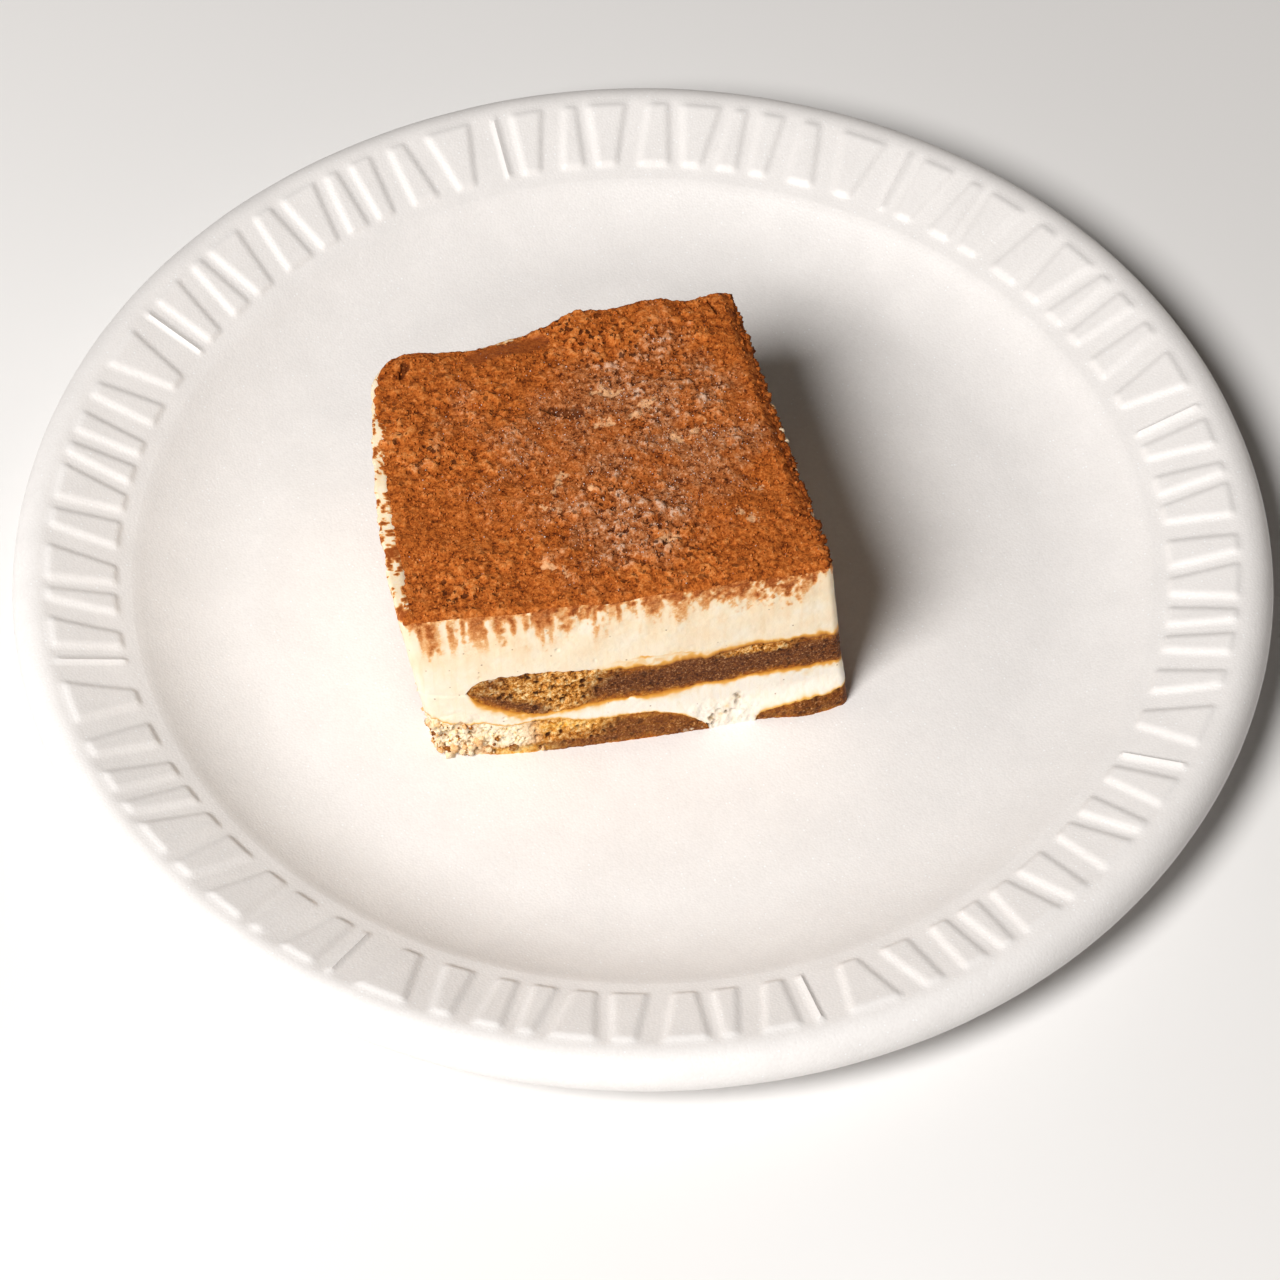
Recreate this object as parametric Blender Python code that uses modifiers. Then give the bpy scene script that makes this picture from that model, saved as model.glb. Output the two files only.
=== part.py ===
"""A cut portion of tiramisu lying on a round white foam plate, at real size, in metres, +Z up.

The origin is the middle of the plate's flat underside, and the portion's front cut runs along X.
The plate is one turned shell with a ring of raised wedge-shaped panels on its sloping rim.
The portion is a block of layers that run from its front cut to its back cut: soaked sponge fingers
on the plate, cream, a second layer of fingers, thick cream and a dusting of cocoa.
"""

import math

import bmesh
import bpy
import numpy as np

# Clearance left between pieces that touch
GAP = 0.0003

# Foam plate: a flat floor, a curved wall, a sloping rim and a rolled lip
PLATE_RADIUS = 0.114
PLATE_THICKNESS = 0.003
FLOOR_RADIUS = 0.072
WALL_ARC_RADIUS = 0.0356
RIM_START = 0.0925
RIM_SLOPE = math.radians(21.0)
LIP_START = 0.108
LIP_THICKNESS = 0.0023
PLATE_STEPS = 96

# Raised panels on the rim: one run of ten repeats eight times round the plate
PANEL_INNER = 0.0955
PANEL_OUTER = 0.1075
PANEL_HEIGHT = 0.0006
PANEL_ROOT = 0.0005
PANEL_BEVEL = 0.0005
PANEL_RUNS = 8
PANEL_RUN_START = 13.1
# Left and right edge of each panel in degrees, at the rim's outer end and at its inner end
PANEL_EDGES = (
    (-2.4, 2.4, -1.0, 1.0),
    (5.0, 6.7, 3.7, 6.7),
    (8.9, 11.3, 9.4, 11.3),
    (12.9, 14.2, 12.9, 15.3),
    (15.7, 19.8, 17.1, 19.25),
    (21.3, 23.3, 20.85, 24.4),
    (25.8, 29.8, 27.0, 29.3),
    (31.1, 32.35, 30.9, 33.4),
    (34.7, 38.05, 36.1, 38.05),
    (39.6, 40.9, 39.6, 42.5),
)

# Portion: corners at the foot and at the top, in the order front left, front right, back right, back left
FOOT_CORNERS = ((-0.0418, -0.0350), (0.0324, -0.0333), (0.0250, 0.0340), (-0.0395, 0.0270))
TOP_CORNERS = ((-0.0467, -0.0327), (0.0285, -0.0316), (0.0206, 0.0342), (-0.0452, 0.0272))
CORNER_RADII = (0.0015, 0.0014, 0.0010, 0.0080)
MIDDLE_WIDTH = 0.074
MIDDLE_DEPTH = 0.0625
FOOT_Z = PLATE_THICKNESS + GAP
TOP_Z = 0.040

# How far each cut side bows out at its middle
FRONT_BOW_FOOT = 0.0031
FRONT_BOW_TOP = 0.0013
LEFT_BOW = 0.0018
BACK_WAVE = 0.0016

# At its foot the front cut spreads a little, and the lower right fingers bulge out of it
FOOT_SPREAD = 0.0008
FINGER_BULGE = 0.0015
BULGE_PLACE = 0.905
BULGE_WIDTH = 0.09
SPREAD_BOTTOM = 0.0045
SPREAD_TOP = 0.0105

# Sponge fingers lie along X in rows; these are the joints between rows as shares of the depth
FINGER_JOINTS = (-0.176, 0.224, 0.624, 1.024)
FINGER_CROWN = 0.0030
FINGER_KEEL = 0.0012

# Places along the width, as shares of it
UPPER_FINGER_TIP = 0.108
LEFT_FINGER_END = 0.656
RIGHT_FINGER_START = 0.768

# Heights of the layer surfaces at the front cut, as (share of the width, height)
UPPER_FINGER_TOP = (
    (0.108, 0.0206),
    (0.144, 0.0224),
    (0.20, 0.0237),
    (0.29, 0.0240),
    (0.43, 0.0220),
    (0.57, 0.0214),
    (0.66, 0.0208),
    (0.71, 0.0213),
    (0.76, 0.0218),
    (0.82, 0.0221),
    (0.92, 0.0218),
    (1.0, 0.0208),
)
UPPER_FINGER_BOTTOM = (
    (0.108, 0.0190),
    (0.133, 0.0174),
    (0.175, 0.0154),
    (0.24, 0.0136),
    (0.31, 0.0131),
    (0.385, 0.0139),
    (0.445, 0.0142),
    (0.60, 0.0141),
    (0.80, 0.0146),
    (0.87, 0.0143),
    (1.0, 0.0141),
)
LEFT_FINGER_TOP = (
    (0.0, 0.0126),
    (0.10, 0.0119),
    (0.17, 0.0108),
    (0.26, 0.0109),
    (0.41, 0.0094),
    (0.53, 0.0092),
    (0.60, 0.0076),
    (0.656, 0.0043),
)
RIGHT_FINGER_TOP = ((0.768, 0.0045), (0.80, 0.0055), (0.86, 0.0061), (0.93, 0.0067), (1.0, 0.0073))
REAR_FINGER_EXTRA = 0.0014
CREAM_SEAM = 0.0198
COCOA_THICKNESS = 0.0011

# Relief of the broken and spooned surfaces
CRUMB_RELIEF = 0.0007
CREAM_RELIEF = 0.0003
BROKEN_CORNER_RELIEF = 0.0016
BROKEN_CORNER_WIDTH = 0.13
COCOA_RELIEF = 0.0004
BACK_SLUMP = 0.0016

# Grid lines along the width and the depth: (end of the stretch as a share, number of cells in it)
WIDTH_STRETCHES = (
    (UPPER_FINGER_TIP, 3),
    (0.20, 3),
    (0.60, 5),
    (LEFT_FINGER_END, 2),
    (RIGHT_FINGER_START, 2),
    (0.86, 2),
    (1.0, 3),
)
DEPTH_STRETCHES = ((0.224, 3), (0.624, 5), (1.0, 5))

PORTION_COLLECTION = "tiramisu_portion"
CUTTER_COLLECTION = "rim_panels"


def clear_scene():
    """Removes every object, so that the script starts from nothing."""
    for existing in list(bpy.data.objects):
        bpy.data.objects.remove(existing, do_unlink=True)


def make_collection(name):
    collection = bpy.data.collections.new(name)
    bpy.context.scene.collection.children.link(collection)
    return collection


def make_material(name, colour, roughness):
    """A plain Principled material in the piece's own colour."""
    material = bpy.data.materials.new(name)
    material.use_nodes = True
    shader = material.node_tree.nodes["Principled BSDF"]
    shader.inputs["Base Color"].default_value = (*colour, 1.0)
    shader.inputs["Roughness"].default_value = roughness
    shader.inputs["Metallic"].default_value = 0.0
    return material


def arc(centre, radius, start, end, steps):
    """Points on an arc from start to end degrees, counted from +X towards +Z."""
    angles = np.radians(np.linspace(start, end, steps + 1))
    return [(centre[0] + radius * math.cos(a), centre[1] + radius * math.sin(a)) for a in angles]


def plate_profile():
    """The plate's closed half section as (radius, height), from the floor's middle round to the underside."""
    wall_centre = (FLOOR_RADIUS, PLATE_THICKNESS + WALL_ARC_RADIUS)
    wall_end = -90 + math.degrees(math.asin((RIM_START - FLOOR_RADIUS) / WALL_ARC_RADIUS))
    wall_top = arc(wall_centre, WALL_ARC_RADIUS, -90, wall_end, 5)
    rim_start_z = wall_top[-1][1]
    lip_z = rim_start_z + (LIP_START - RIM_START) * math.tan(RIM_SLOPE)
    lip_radius = (PLATE_RADIUS - LIP_START) / (1 + math.sin(RIM_SLOPE))
    lip_centre = (
        LIP_START + lip_radius * math.sin(RIM_SLOPE),
        lip_z - lip_radius * math.cos(RIM_SLOPE),
    )
    lip_angle = 90 + math.degrees(RIM_SLOPE)
    lip_outside = arc(lip_centre, lip_radius, lip_angle, -20, 7)
    lip_inside = arc(lip_centre, lip_radius - LIP_THICKNESS, -20, lip_angle, 4)
    wall_underside = arc(wall_centre, WALL_ARC_RADIUS + PLATE_THICKNESS, wall_end, -90, 4)
    floor_top = [(0.0, PLATE_THICKNESS)]
    floor_underside = [(0.0, 0.0)]
    return floor_top + wall_top + lip_outside + lip_inside + wall_underside + floor_underside


def rim_height(radius):
    """Height of the sloping rim's upper face at this radius."""
    wall_rise = WALL_ARC_RADIUS - math.sqrt(WALL_ARC_RADIUS**2 - (RIM_START - FLOOR_RADIUS) ** 2)
    return PLATE_THICKNESS + wall_rise + (radius - RIM_START) * math.tan(RIM_SLOPE)


def make_plate_body(collection, material):
    """The turned shell of the plate, without its panels."""
    mesh = bpy.data.meshes.new("foam_plate")
    points = [(radius, 0.0, height) for radius, height in plate_profile()]
    mesh.from_pydata(points, [(i, i + 1) for i in range(len(points) - 1)], [])
    plate = bpy.data.objects.new("foam_plate", mesh)
    collection.objects.link(plate)
    turn = plate.modifiers.new("turn", "SCREW")
    turn.steps = PLATE_STEPS
    turn.render_steps = PLATE_STEPS
    turn.use_merge_vertices = True
    turn.merge_threshold = 0.00001
    mesh.materials.append(material)
    return plate


def make_panel(collection, material, edges, turned):
    """One raised wedge on the rim: a cube with its corners moved to the panel's outline on the slope."""
    outer_left, outer_right, inner_left, inner_right = edges
    frame = bmesh.new()
    bmesh.ops.create_cube(frame, size=2.0)
    for corner in frame.verts:
        outside = corner.co.y > 0
        raised = corner.co.z > 0
        inset = PANEL_BEVEL if raised else 0.0
        radius = PANEL_OUTER - inset if outside else PANEL_INNER + inset
        left, right = (outer_left, outer_right) if outside else (inner_left, inner_right)
        inset_angle = math.degrees(inset / radius)
        # An angle grows to the left when seen from the middle of the plate, so right is the larger one
        angle = right - inset_angle if corner.co.x > 0 else left + inset_angle
        height = rim_height(radius) + (PANEL_HEIGHT if raised else -PANEL_ROOT)
        direction = math.radians(angle + turned)
        corner.co = (radius * math.cos(direction), radius * math.sin(direction), height)
    bmesh.ops.recalc_face_normals(frame, faces=frame.faces)
    mesh = bpy.data.meshes.new("rim_panel")
    frame.to_mesh(mesh)
    frame.free()
    mesh.materials.append(material)
    panel = bpy.data.objects.new("rim_panel", mesh)
    panel.hide_render = True
    panel.display_type = "WIRE"
    collection.objects.link(panel)
    return panel


def make_plate(collection, material):
    """The plate's shell with its ring of panels joined on."""
    plate = make_plate_body(collection, material)
    panels = make_collection(CUTTER_COLLECTION)
    for run in range(PANEL_RUNS):
        turned = PANEL_RUN_START + run * 360 / PANEL_RUNS
        for edges in PANEL_EDGES:
            make_panel(panels, material, edges, turned)
    join = plate.modifiers.new("join_panels", "BOOLEAN")
    join.operation = "UNION"
    join.operand_type = "COLLECTION"
    join.collection = panels
    join.solver = "EXACT"
    apply_modifiers(plate)
    for panel in list(panels.objects):
        bpy.data.objects.remove(panel, do_unlink=True)
    bpy.data.collections.remove(panels)
    plate.data.shade_smooth()
    plate.data.set_sharp_from_angle(angle=math.radians(25))
    return plate


def apply_modifiers(target):
    """Bakes an object's modifiers into its mesh."""
    graph = bpy.context.evaluated_depsgraph_get()
    finished = bpy.data.meshes.new_from_object(target.evaluated_get(graph))
    finished.name = target.name
    unfinished = target.data
    target.modifiers.clear()
    target.data = finished
    bpy.data.meshes.remove(unfinished)


def curve_through(stations, at):
    """A smooth curve through (place, height) stations, made of cubic pieces.

    The slope at a station is that between its two neighbours.
    """
    places, heights = np.array(stations).T
    slopes = np.gradient(heights, places)
    at = np.clip(at, places[0], places[-1])
    left = np.clip(np.searchsorted(places, at, side="right") - 1, 0, len(places) - 2)
    span = places[left + 1] - places[left]
    s = (at - places[left]) / span
    rise = (2 * s**3 - 3 * s**2 + 1) * heights[left] + (3 * s**2 - 2 * s**3) * heights[left + 1]
    bend = (s**3 - 2 * s**2 + s) * slopes[left] + (s**3 - s**2) * slopes[left + 1]
    return rise + bend * span


def ripple(a, b, spacing, seed):
    """Uneven relief between about -1 and 1: waves of about this spacing that cross in five directions."""
    draw = np.random.default_rng(seed)
    total = np.zeros_like(a)
    for turn in range(5):
        direction = math.pi * (turn + draw.random()) / 5
        wave = 2 * math.pi / (spacing * (0.7 + 0.6 * draw.random()))
        phase = 2 * math.pi * draw.random()
        total += np.sin(wave * (a * math.cos(direction) + b * math.sin(direction)) + phase)
    return total / 3


def bell(distance, width):
    """A smooth bump of height 1 that falls away over this width."""
    return np.exp(-((distance / width) ** 2))


def smooth_step(value, low, high):
    """0 below low, 1 above high and 3t^2 - 2t^3 between; a low above high turns it round."""
    t = np.clip((value - low) / (high - low), 0, 1)
    return t * t * (3 - 2 * t)


def rounded_corners(u, v):
    """Shares of width and depth, moved so that the block's corners become arcs of the corner radii."""
    u_out, v_out = u.copy(), v.copy()
    sides = ((1, 1), (-1, 1), (-1, -1), (1, -1))
    for radius, (along, back) in zip(CORNER_RADII, sides):
        from_side = (u if along > 0 else 1 - u) * MIDDLE_WIDTH
        from_end = (v if back > 0 else 1 - v) * MIDDLE_DEPTH
        d = np.clip(1 - from_side / radius, 0, 1)
        e = np.clip(1 - from_end / radius, 0, 1)
        u_out += along * radius * d * (1 - np.sqrt(1 - e**2 / 2)) / MIDDLE_WIDTH
        v_out += back * radius * e * (1 - np.sqrt(1 - d**2 / 2)) / MIDDLE_DEPTH
    return u_out, v_out


def block_point(u, v, z):
    """Where the shares u of the width and v of the depth lie at height z, in the leaning, bowed block."""
    u, v = rounded_corners(u, v)
    t = (z - PLATE_THICKNESS) / (TOP_Z - PLATE_THICKNESS)
    shares = ((1 - u) * (1 - v), u * (1 - v), u * v, (1 - u) * v)
    x = sum(s * (f[0] + (c[0] - f[0]) * t) for s, f, c in zip(shares, FOOT_CORNERS, TOP_CORNERS))
    y = sum(s * (f[1] + (c[1] - f[1]) * t) for s, f, c in zip(shares, FOOT_CORNERS, TOP_CORNERS))
    u_inside, v_inside = np.clip(u, 0, 1), np.clip(v, 0, 1)
    front_bow = FRONT_BOW_FOOT + (FRONT_BOW_TOP - FRONT_BOW_FOOT) * t
    y -= (1 - v) * front_bow * np.sin(math.pi * u_inside**0.62)
    spread = FOOT_SPREAD * smooth_step(u_inside, 0.3, 0.7)
    spread += FINGER_BULGE * bell(u_inside - BULGE_PLACE, BULGE_WIDTH)
    y -= (1 - v) * spread * smooth_step(z, SPREAD_TOP, SPREAD_BOTTOM)
    y -= v * BACK_WAVE * np.sin(2.3 * math.pi * u_inside) * (1 - u_inside**4)
    x -= (1 - u) * LEFT_BOW * np.sin(math.pi * v_inside)
    return x, y


def finger_row(v):
    """Share of full thickness across the rows of fingers: 1 along each finger's middle, 0 at the joints."""
    share = np.zeros_like(v)
    for start, end in zip(FINGER_JOINTS[:-1], FINGER_JOINTS[1:]):
        across = (v - start) / (end - start)
        inside = (across >= 0) & (across <= 1)
        rounded = np.sqrt(np.clip(1 - np.abs(2 * across - 1) ** 2.6, 0, 1))
        share = np.where(inside, rounded, share)
    return share


def upper_top(u, v):
    """Upper face of the upper fingers."""
    nose = np.clip((u - UPPER_FINGER_TIP) / 0.1, 0, 1)
    swell = FINGER_CROWN * (finger_row(v) - finger_row(np.zeros_like(v))) * nose
    height = curve_through(UPPER_FINGER_TOP, u)
    return height + swell + CREAM_RELIEF * nose * v * ripple(u * MIDDLE_WIDTH, v * MIDDLE_DEPTH, 0.021, 3)


def upper_bottom(u, v):
    """Underside of the upper fingers."""
    nose = np.clip((u - UPPER_FINGER_TIP) / 0.1, 0, 1)
    swell = FINGER_KEEL * (finger_row(v) - finger_row(np.zeros_like(v))) * nose
    return curve_through(UPPER_FINGER_BOTTOM, u) - swell


def left_finger_top(u, v):
    """Upper face of the lower fingers on the left."""
    tail = np.clip((LEFT_FINGER_END - u) / 0.15, 0, 1)
    swell = FINGER_CROWN * (finger_row(v) - finger_row(np.zeros_like(v))) * tail
    return curve_through(LEFT_FINGER_TOP, u) + swell


def right_finger_top(u, v):
    """Upper face of the lower fingers on the right; the rows behind the front one are thicker."""
    nose = np.clip((u - RIGHT_FINGER_START) / 0.12, 0, 1)
    deeper = np.clip(v / 0.4, 0, 1)
    thicker = REAR_FINGER_EXTRA * deeper * finger_row(v)
    return curve_through(RIGHT_FINGER_TOP, u) + thicker * nose


def lower_cream_bottom(u, v):
    """Underside of the lower cream: on the fingers, and down on the plate between them."""
    on_left = u <= LEFT_FINGER_END
    on_right = u >= RIGHT_FINGER_START
    height = np.where(on_left, left_finger_top(u, v), FOOT_Z)
    height = np.where(on_right, right_finger_top(u, v), height)
    return height + np.where(on_left | on_right, GAP, 0.0)


def lower_cream_top(u, v):
    """Upper face of the lower cream: under the upper fingers, and at the seam beside their tips."""
    under = u >= UPPER_FINGER_TIP
    return np.where(under, upper_bottom(u, v) - GAP, CREAM_SEAM - GAP / 2)


def upper_cream_bottom(u, v):
    """Underside of the upper cream: on the upper fingers, and at the seam beside their tips."""
    over = u >= UPPER_FINGER_TIP
    return np.where(over, upper_top(u, v) + GAP, CREAM_SEAM + GAP / 2)


def top_relief(u, v):
    """Height of the cocoa's upper face: uneven, with a slump at the back left."""
    slump = BACK_SLUMP * bell(u - 0.36, 0.13) * np.clip((v - 0.86) / 0.14, 0, 1) ** 2
    return TOP_Z + COCOA_RELIEF * ripple(u * MIDDLE_WIDTH, v * MIDDLE_DEPTH, 0.017, 11) - slump


def upper_cream_top(u, v):
    return top_relief(u, v) - COCOA_THICKNESS - GAP


def cocoa_bottom(u, v):
    return top_relief(u, v) - COCOA_THICKNESS


def foot(u, v):
    return np.full_like(u, FOOT_Z)


def grid_lines(stretches, start, end):
    """Grid lines from start to end: each stretch is cut into its own number of equal cells."""
    lines = [0.0]
    for stretch_end, cells in stretches:
        lines += list(np.linspace(lines[-1], stretch_end, cells + 1)[1:])
    return np.array([line for line in lines if start - 1e-6 <= line <= end + 1e-6])


def layer_cage(columns, rows, levels):
    """A closed box of triangles on a grid, with its sides cut into levels.

    Each vertex holds its column, row and level as its x, y and z.
    """
    cage = bmesh.new()
    bmesh.ops.create_grid(cage, x_segments=columns, y_segments=rows, size=0.5)
    for vert in cage.verts:
        vert.co.x = round((vert.co.x + 0.5) * columns)
        vert.co.y = round((vert.co.y + 0.5) * rows)
    bmesh.ops.triangulate(cage, faces=cage.faces[:], quad_method="FIXED")
    sheet = cage.faces[:] + cage.edges[:]
    for level in range(levels):
        raised = bmesh.ops.extrude_face_region(cage, geom=sheet, use_keep_orig=level == 0)
        moved = [item for item in raised["geom"] if isinstance(item, bmesh.types.BMVert)]
        bmesh.ops.translate(cage, verts=moved, vec=(0, 0, 1))
        sheet = [item for item in raised["geom"] if item not in moved]
    bmesh.ops.recalc_face_normals(cage, faces=cage.faces)
    return cage


def make_layer(collection, name, material, span, bottom, top, levels, relief, edge=None):
    """One layer of the portion between two surfaces, over this span of the width, with uneven sides."""
    across = grid_lines(WIDTH_STRETCHES, *span)
    back = grid_lines(DEPTH_STRETCHES, 0.0, 1.0)
    cage = layer_cage(len(across) - 1, len(back) - 1, levels)
    mesh = bpy.data.meshes.new(name)
    cage.to_mesh(mesh)
    cage.free()
    flat = np.empty(len(mesh.vertices) * 3, np.float32)
    mesh.vertices.foreach_get("co", flat)
    column, row, level = np.rint(flat.reshape(-1, 3)).astype(int).T
    u, v = across[column], back[row]
    share = level / levels
    z = bottom(u, v) + (top(u, v) - bottom(u, v)) * share
    # Only the rings between the two faces are uneven, so that a face never meets its neighbour's
    broken = BROKEN_CORNER_RELIEF * bell(u, BROKEN_CORNER_WIDTH) * bell(v, BROKEN_CORNER_WIDTH)
    uneven = np.where(z < CREAM_SEAM, relief + broken, relief) * np.sin(math.pi * share)
    proud = uneven * (ripple(u + v, z / MIDDLE_DEPTH, 0.13, levels + 5) + 0.4)
    u_way = np.where(u == 1.0, 1.0, 0.0) - np.where(u == 0.0, 1.0, 0.0)
    v_way = np.where(v == 1.0, 1.0, 0.0) - np.where(v == 0.0, 1.0, 0.0)
    if edge is not None:
        u, v = edge(u, v, share)
    x, y = block_point(u, v, z)
    x += u_way * proud
    y += v_way * proud
    mesh.vertices.foreach_set("co", np.column_stack([x, y, z]).astype(np.float32).ravel())
    mesh.update()
    mesh.materials.append(material)
    mesh.shade_smooth()
    mesh.set_sharp_from_angle(angle=math.radians(40))
    layer = bpy.data.objects.new(name, mesh)
    collection.objects.link(layer)
    return layer


def cocoa_edge(u, v, share):
    """The dusting's rim slopes in and stops short of the cream's edge, most along the left near the front."""
    left = 0.0005 + 0.0019 * bell(v - 0.22, 0.12) + 0.0006 * share
    right = 0.0008 + 0.0006 * share
    front = 0.0003 + 0.0007 * share
    back = 0.0004 + 0.0006 * share + 0.0008 * bell(u - 0.36, 0.12)
    u_new = np.where(u == 0.0, left / MIDDLE_WIDTH, np.where(u == 1.0, 1 - right / MIDDLE_WIDTH, u))
    v_new = np.where(v == 0.0, front / MIDDLE_DEPTH, np.where(v == 1.0, 1 - back / MIDDLE_DEPTH, v))
    return u_new, v_new


def make_portion(collection):
    """All layers of the portion, from the plate up."""
    sponge = make_material("soaked_sponge", (0.30, 0.145, 0.045), 0.8)
    cream = make_material("mascarpone_cream", (0.90, 0.74, 0.50), 0.5)
    cocoa = make_material("cocoa_powder", (0.26, 0.075, 0.018), 0.9)
    make_layer(
        collection,
        "lower_sponge_left",
        sponge,
        (0.0, LEFT_FINGER_END),
        foot,
        left_finger_top,
        4,
        CRUMB_RELIEF,
    )
    make_layer(
        collection,
        "lower_sponge_right",
        sponge,
        (RIGHT_FINGER_START, 1.0),
        foot,
        right_finger_top,
        2,
        CRUMB_RELIEF,
    )
    make_layer(
        collection,
        "lower_cream",
        cream,
        (0.0, 1.0),
        lower_cream_bottom,
        lower_cream_top,
        2,
        CREAM_RELIEF,
    )
    make_layer(
        collection,
        "upper_sponge",
        sponge,
        (UPPER_FINGER_TIP, 1.0),
        upper_bottom,
        upper_top,
        2,
        CRUMB_RELIEF,
    )
    make_layer(
        collection,
        "upper_cream",
        cream,
        (0.0, 1.0),
        upper_cream_bottom,
        upper_cream_top,
        5,
        CREAM_RELIEF,
    )
    make_layer(
        collection,
        "cocoa_dusting",
        cocoa,
        (0.0, 1.0),
        cocoa_bottom,
        top_relief,
        2,
        0.0,
        cocoa_edge,
    )


def main():
    clear_scene()
    collection = make_collection(PORTION_COLLECTION)
    foam = make_material("expanded_polystyrene", (0.90, 0.88, 0.86), 0.55)
    make_plate(collection, foam)
    make_portion(collection)


main()
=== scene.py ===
import math

import bpy
import numpy as np
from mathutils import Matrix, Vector


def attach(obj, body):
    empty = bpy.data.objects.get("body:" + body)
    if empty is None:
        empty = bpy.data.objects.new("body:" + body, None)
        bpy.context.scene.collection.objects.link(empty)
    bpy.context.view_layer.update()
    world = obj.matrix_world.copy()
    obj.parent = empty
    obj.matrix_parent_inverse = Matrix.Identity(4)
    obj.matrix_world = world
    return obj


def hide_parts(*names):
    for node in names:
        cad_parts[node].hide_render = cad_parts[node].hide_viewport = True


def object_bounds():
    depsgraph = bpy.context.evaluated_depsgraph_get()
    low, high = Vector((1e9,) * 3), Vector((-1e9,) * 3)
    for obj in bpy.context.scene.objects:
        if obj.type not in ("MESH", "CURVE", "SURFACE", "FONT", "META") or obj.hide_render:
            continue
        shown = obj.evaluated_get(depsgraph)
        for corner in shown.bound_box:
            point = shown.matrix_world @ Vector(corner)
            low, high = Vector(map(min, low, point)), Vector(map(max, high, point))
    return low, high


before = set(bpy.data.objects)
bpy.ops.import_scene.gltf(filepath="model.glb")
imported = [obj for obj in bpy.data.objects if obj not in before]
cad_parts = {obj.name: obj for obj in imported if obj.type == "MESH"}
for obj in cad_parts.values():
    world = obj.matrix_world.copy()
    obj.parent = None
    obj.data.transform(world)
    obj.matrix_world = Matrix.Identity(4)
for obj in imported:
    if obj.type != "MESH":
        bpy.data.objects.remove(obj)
cad_low, cad_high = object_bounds()

# A cut portion of tiramisu on its white foam plate, in metres, +Z up.
# Each layer of the portion is one closed surface: loops run round the layer's outline, from the middle
# of its underside out to the cut sides, up the sides, and in again over its upper face.

# Plate: a flat floor, a curved wall, a sloping rim and a rolled lip
PLATE_RADIUS = 0.114
PLATE_THICKNESS = 0.003
FLOOR_RADIUS = 0.072
WALL_ARC_RADIUS = 0.0356
RIM_START = 0.0925
RIM_SLOPE = math.radians(21.0)
LIP_START = 0.108
LIP_THICKNESS = 0.0023
PLATE_COLUMNS = 1120
PLATE_UNEVEN = 0.0003

# Raised panels on the rim: one run of ten repeats eight times round the plate
PANEL_INNER = 0.0955
PANEL_OUTER = 0.1075
PANEL_HEIGHT = 0.0006
PANEL_SOFTNESS = 0.0014
PANEL_RUN = 45.0
PANEL_RUN_START = 13.1
# Left and right edge of each panel in degrees, at the rim's outer end and at its inner end
PANEL_EDGES = (
    (-2.4, 2.4, -1.0, 1.0), (5.0, 6.7, 3.7, 6.7), (8.9, 11.3, 9.4, 11.3), (12.9, 14.2, 12.9, 15.3),
    (15.7, 19.8, 17.1, 19.25), (21.3, 23.3, 20.85, 24.4), (25.8, 29.8, 27.0, 29.3),
    (31.1, 32.35, 30.9, 33.4), (34.7, 38.05, 36.1, 38.05), (39.6, 40.9, 39.6, 42.5),
)

# Portion: corners at the foot and at the top, in the order front left, front right, back right, back left
FOOT_CORNERS = ((-0.0418, -0.0350), (0.0324, -0.0333), (0.0250, 0.0340), (-0.0395, 0.0270))
TOP_CORNERS = ((-0.0467, -0.0327), (0.0285, -0.0316), (0.0206, 0.0342), (-0.0452, 0.0272))
CORNER_RADII = (0.0015, 0.0014, 0.0010, 0.0080)
MIDDLE_WIDTH = 0.074
MIDDLE_DEPTH = 0.0625
FOOT_Z = PLATE_THICKNESS - 0.0001
TOP_Z = 0.040
FRONT_BOW_FOOT = 0.0031
FRONT_BOW_TOP = 0.0013
LEFT_BOW = 0.0018
BACK_WAVE = 0.0016

# At its foot the front cut spreads a little, and the lower right fingers bulge out of it
FOOT_SPREAD = 0.0008
FINGER_BULGE = 0.0015
BULGE_PLACE = 0.905
BULGE_WIDTH = 0.09
SPREAD_BOTTOM = 0.0045
SPREAD_TOP = 0.0105

# Rows of sponge fingers, as shares of the depth, and places along the width as shares of it
FINGER_JOINTS = (-0.176, 0.224, 0.624, 1.024)
FINGER_CROWN = 0.0030
FINGER_KEEL = 0.0012
UPPER_FINGER_TIP = 0.108
# Shares of the width over which a finger's end is round, and over which its crown grows to full height
END_NOSE = 0.02
UPPER_CROWN_REACH = 0.1
LEFT_CROWN_REACH = 0.15
RIGHT_CROWN_REACH = 0.12
LEFT_FINGER_END = 0.656
RIGHT_FINGER_START = 0.768

# Torn line beyond the lower left fingers: from and to along the width, height and slope, and half width
TORN_FROM = 0.625
TORN_TO = 0.74
TORN_LINE = (0.0044, 0.056)
TORN_WIDTH = 0.0017

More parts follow.
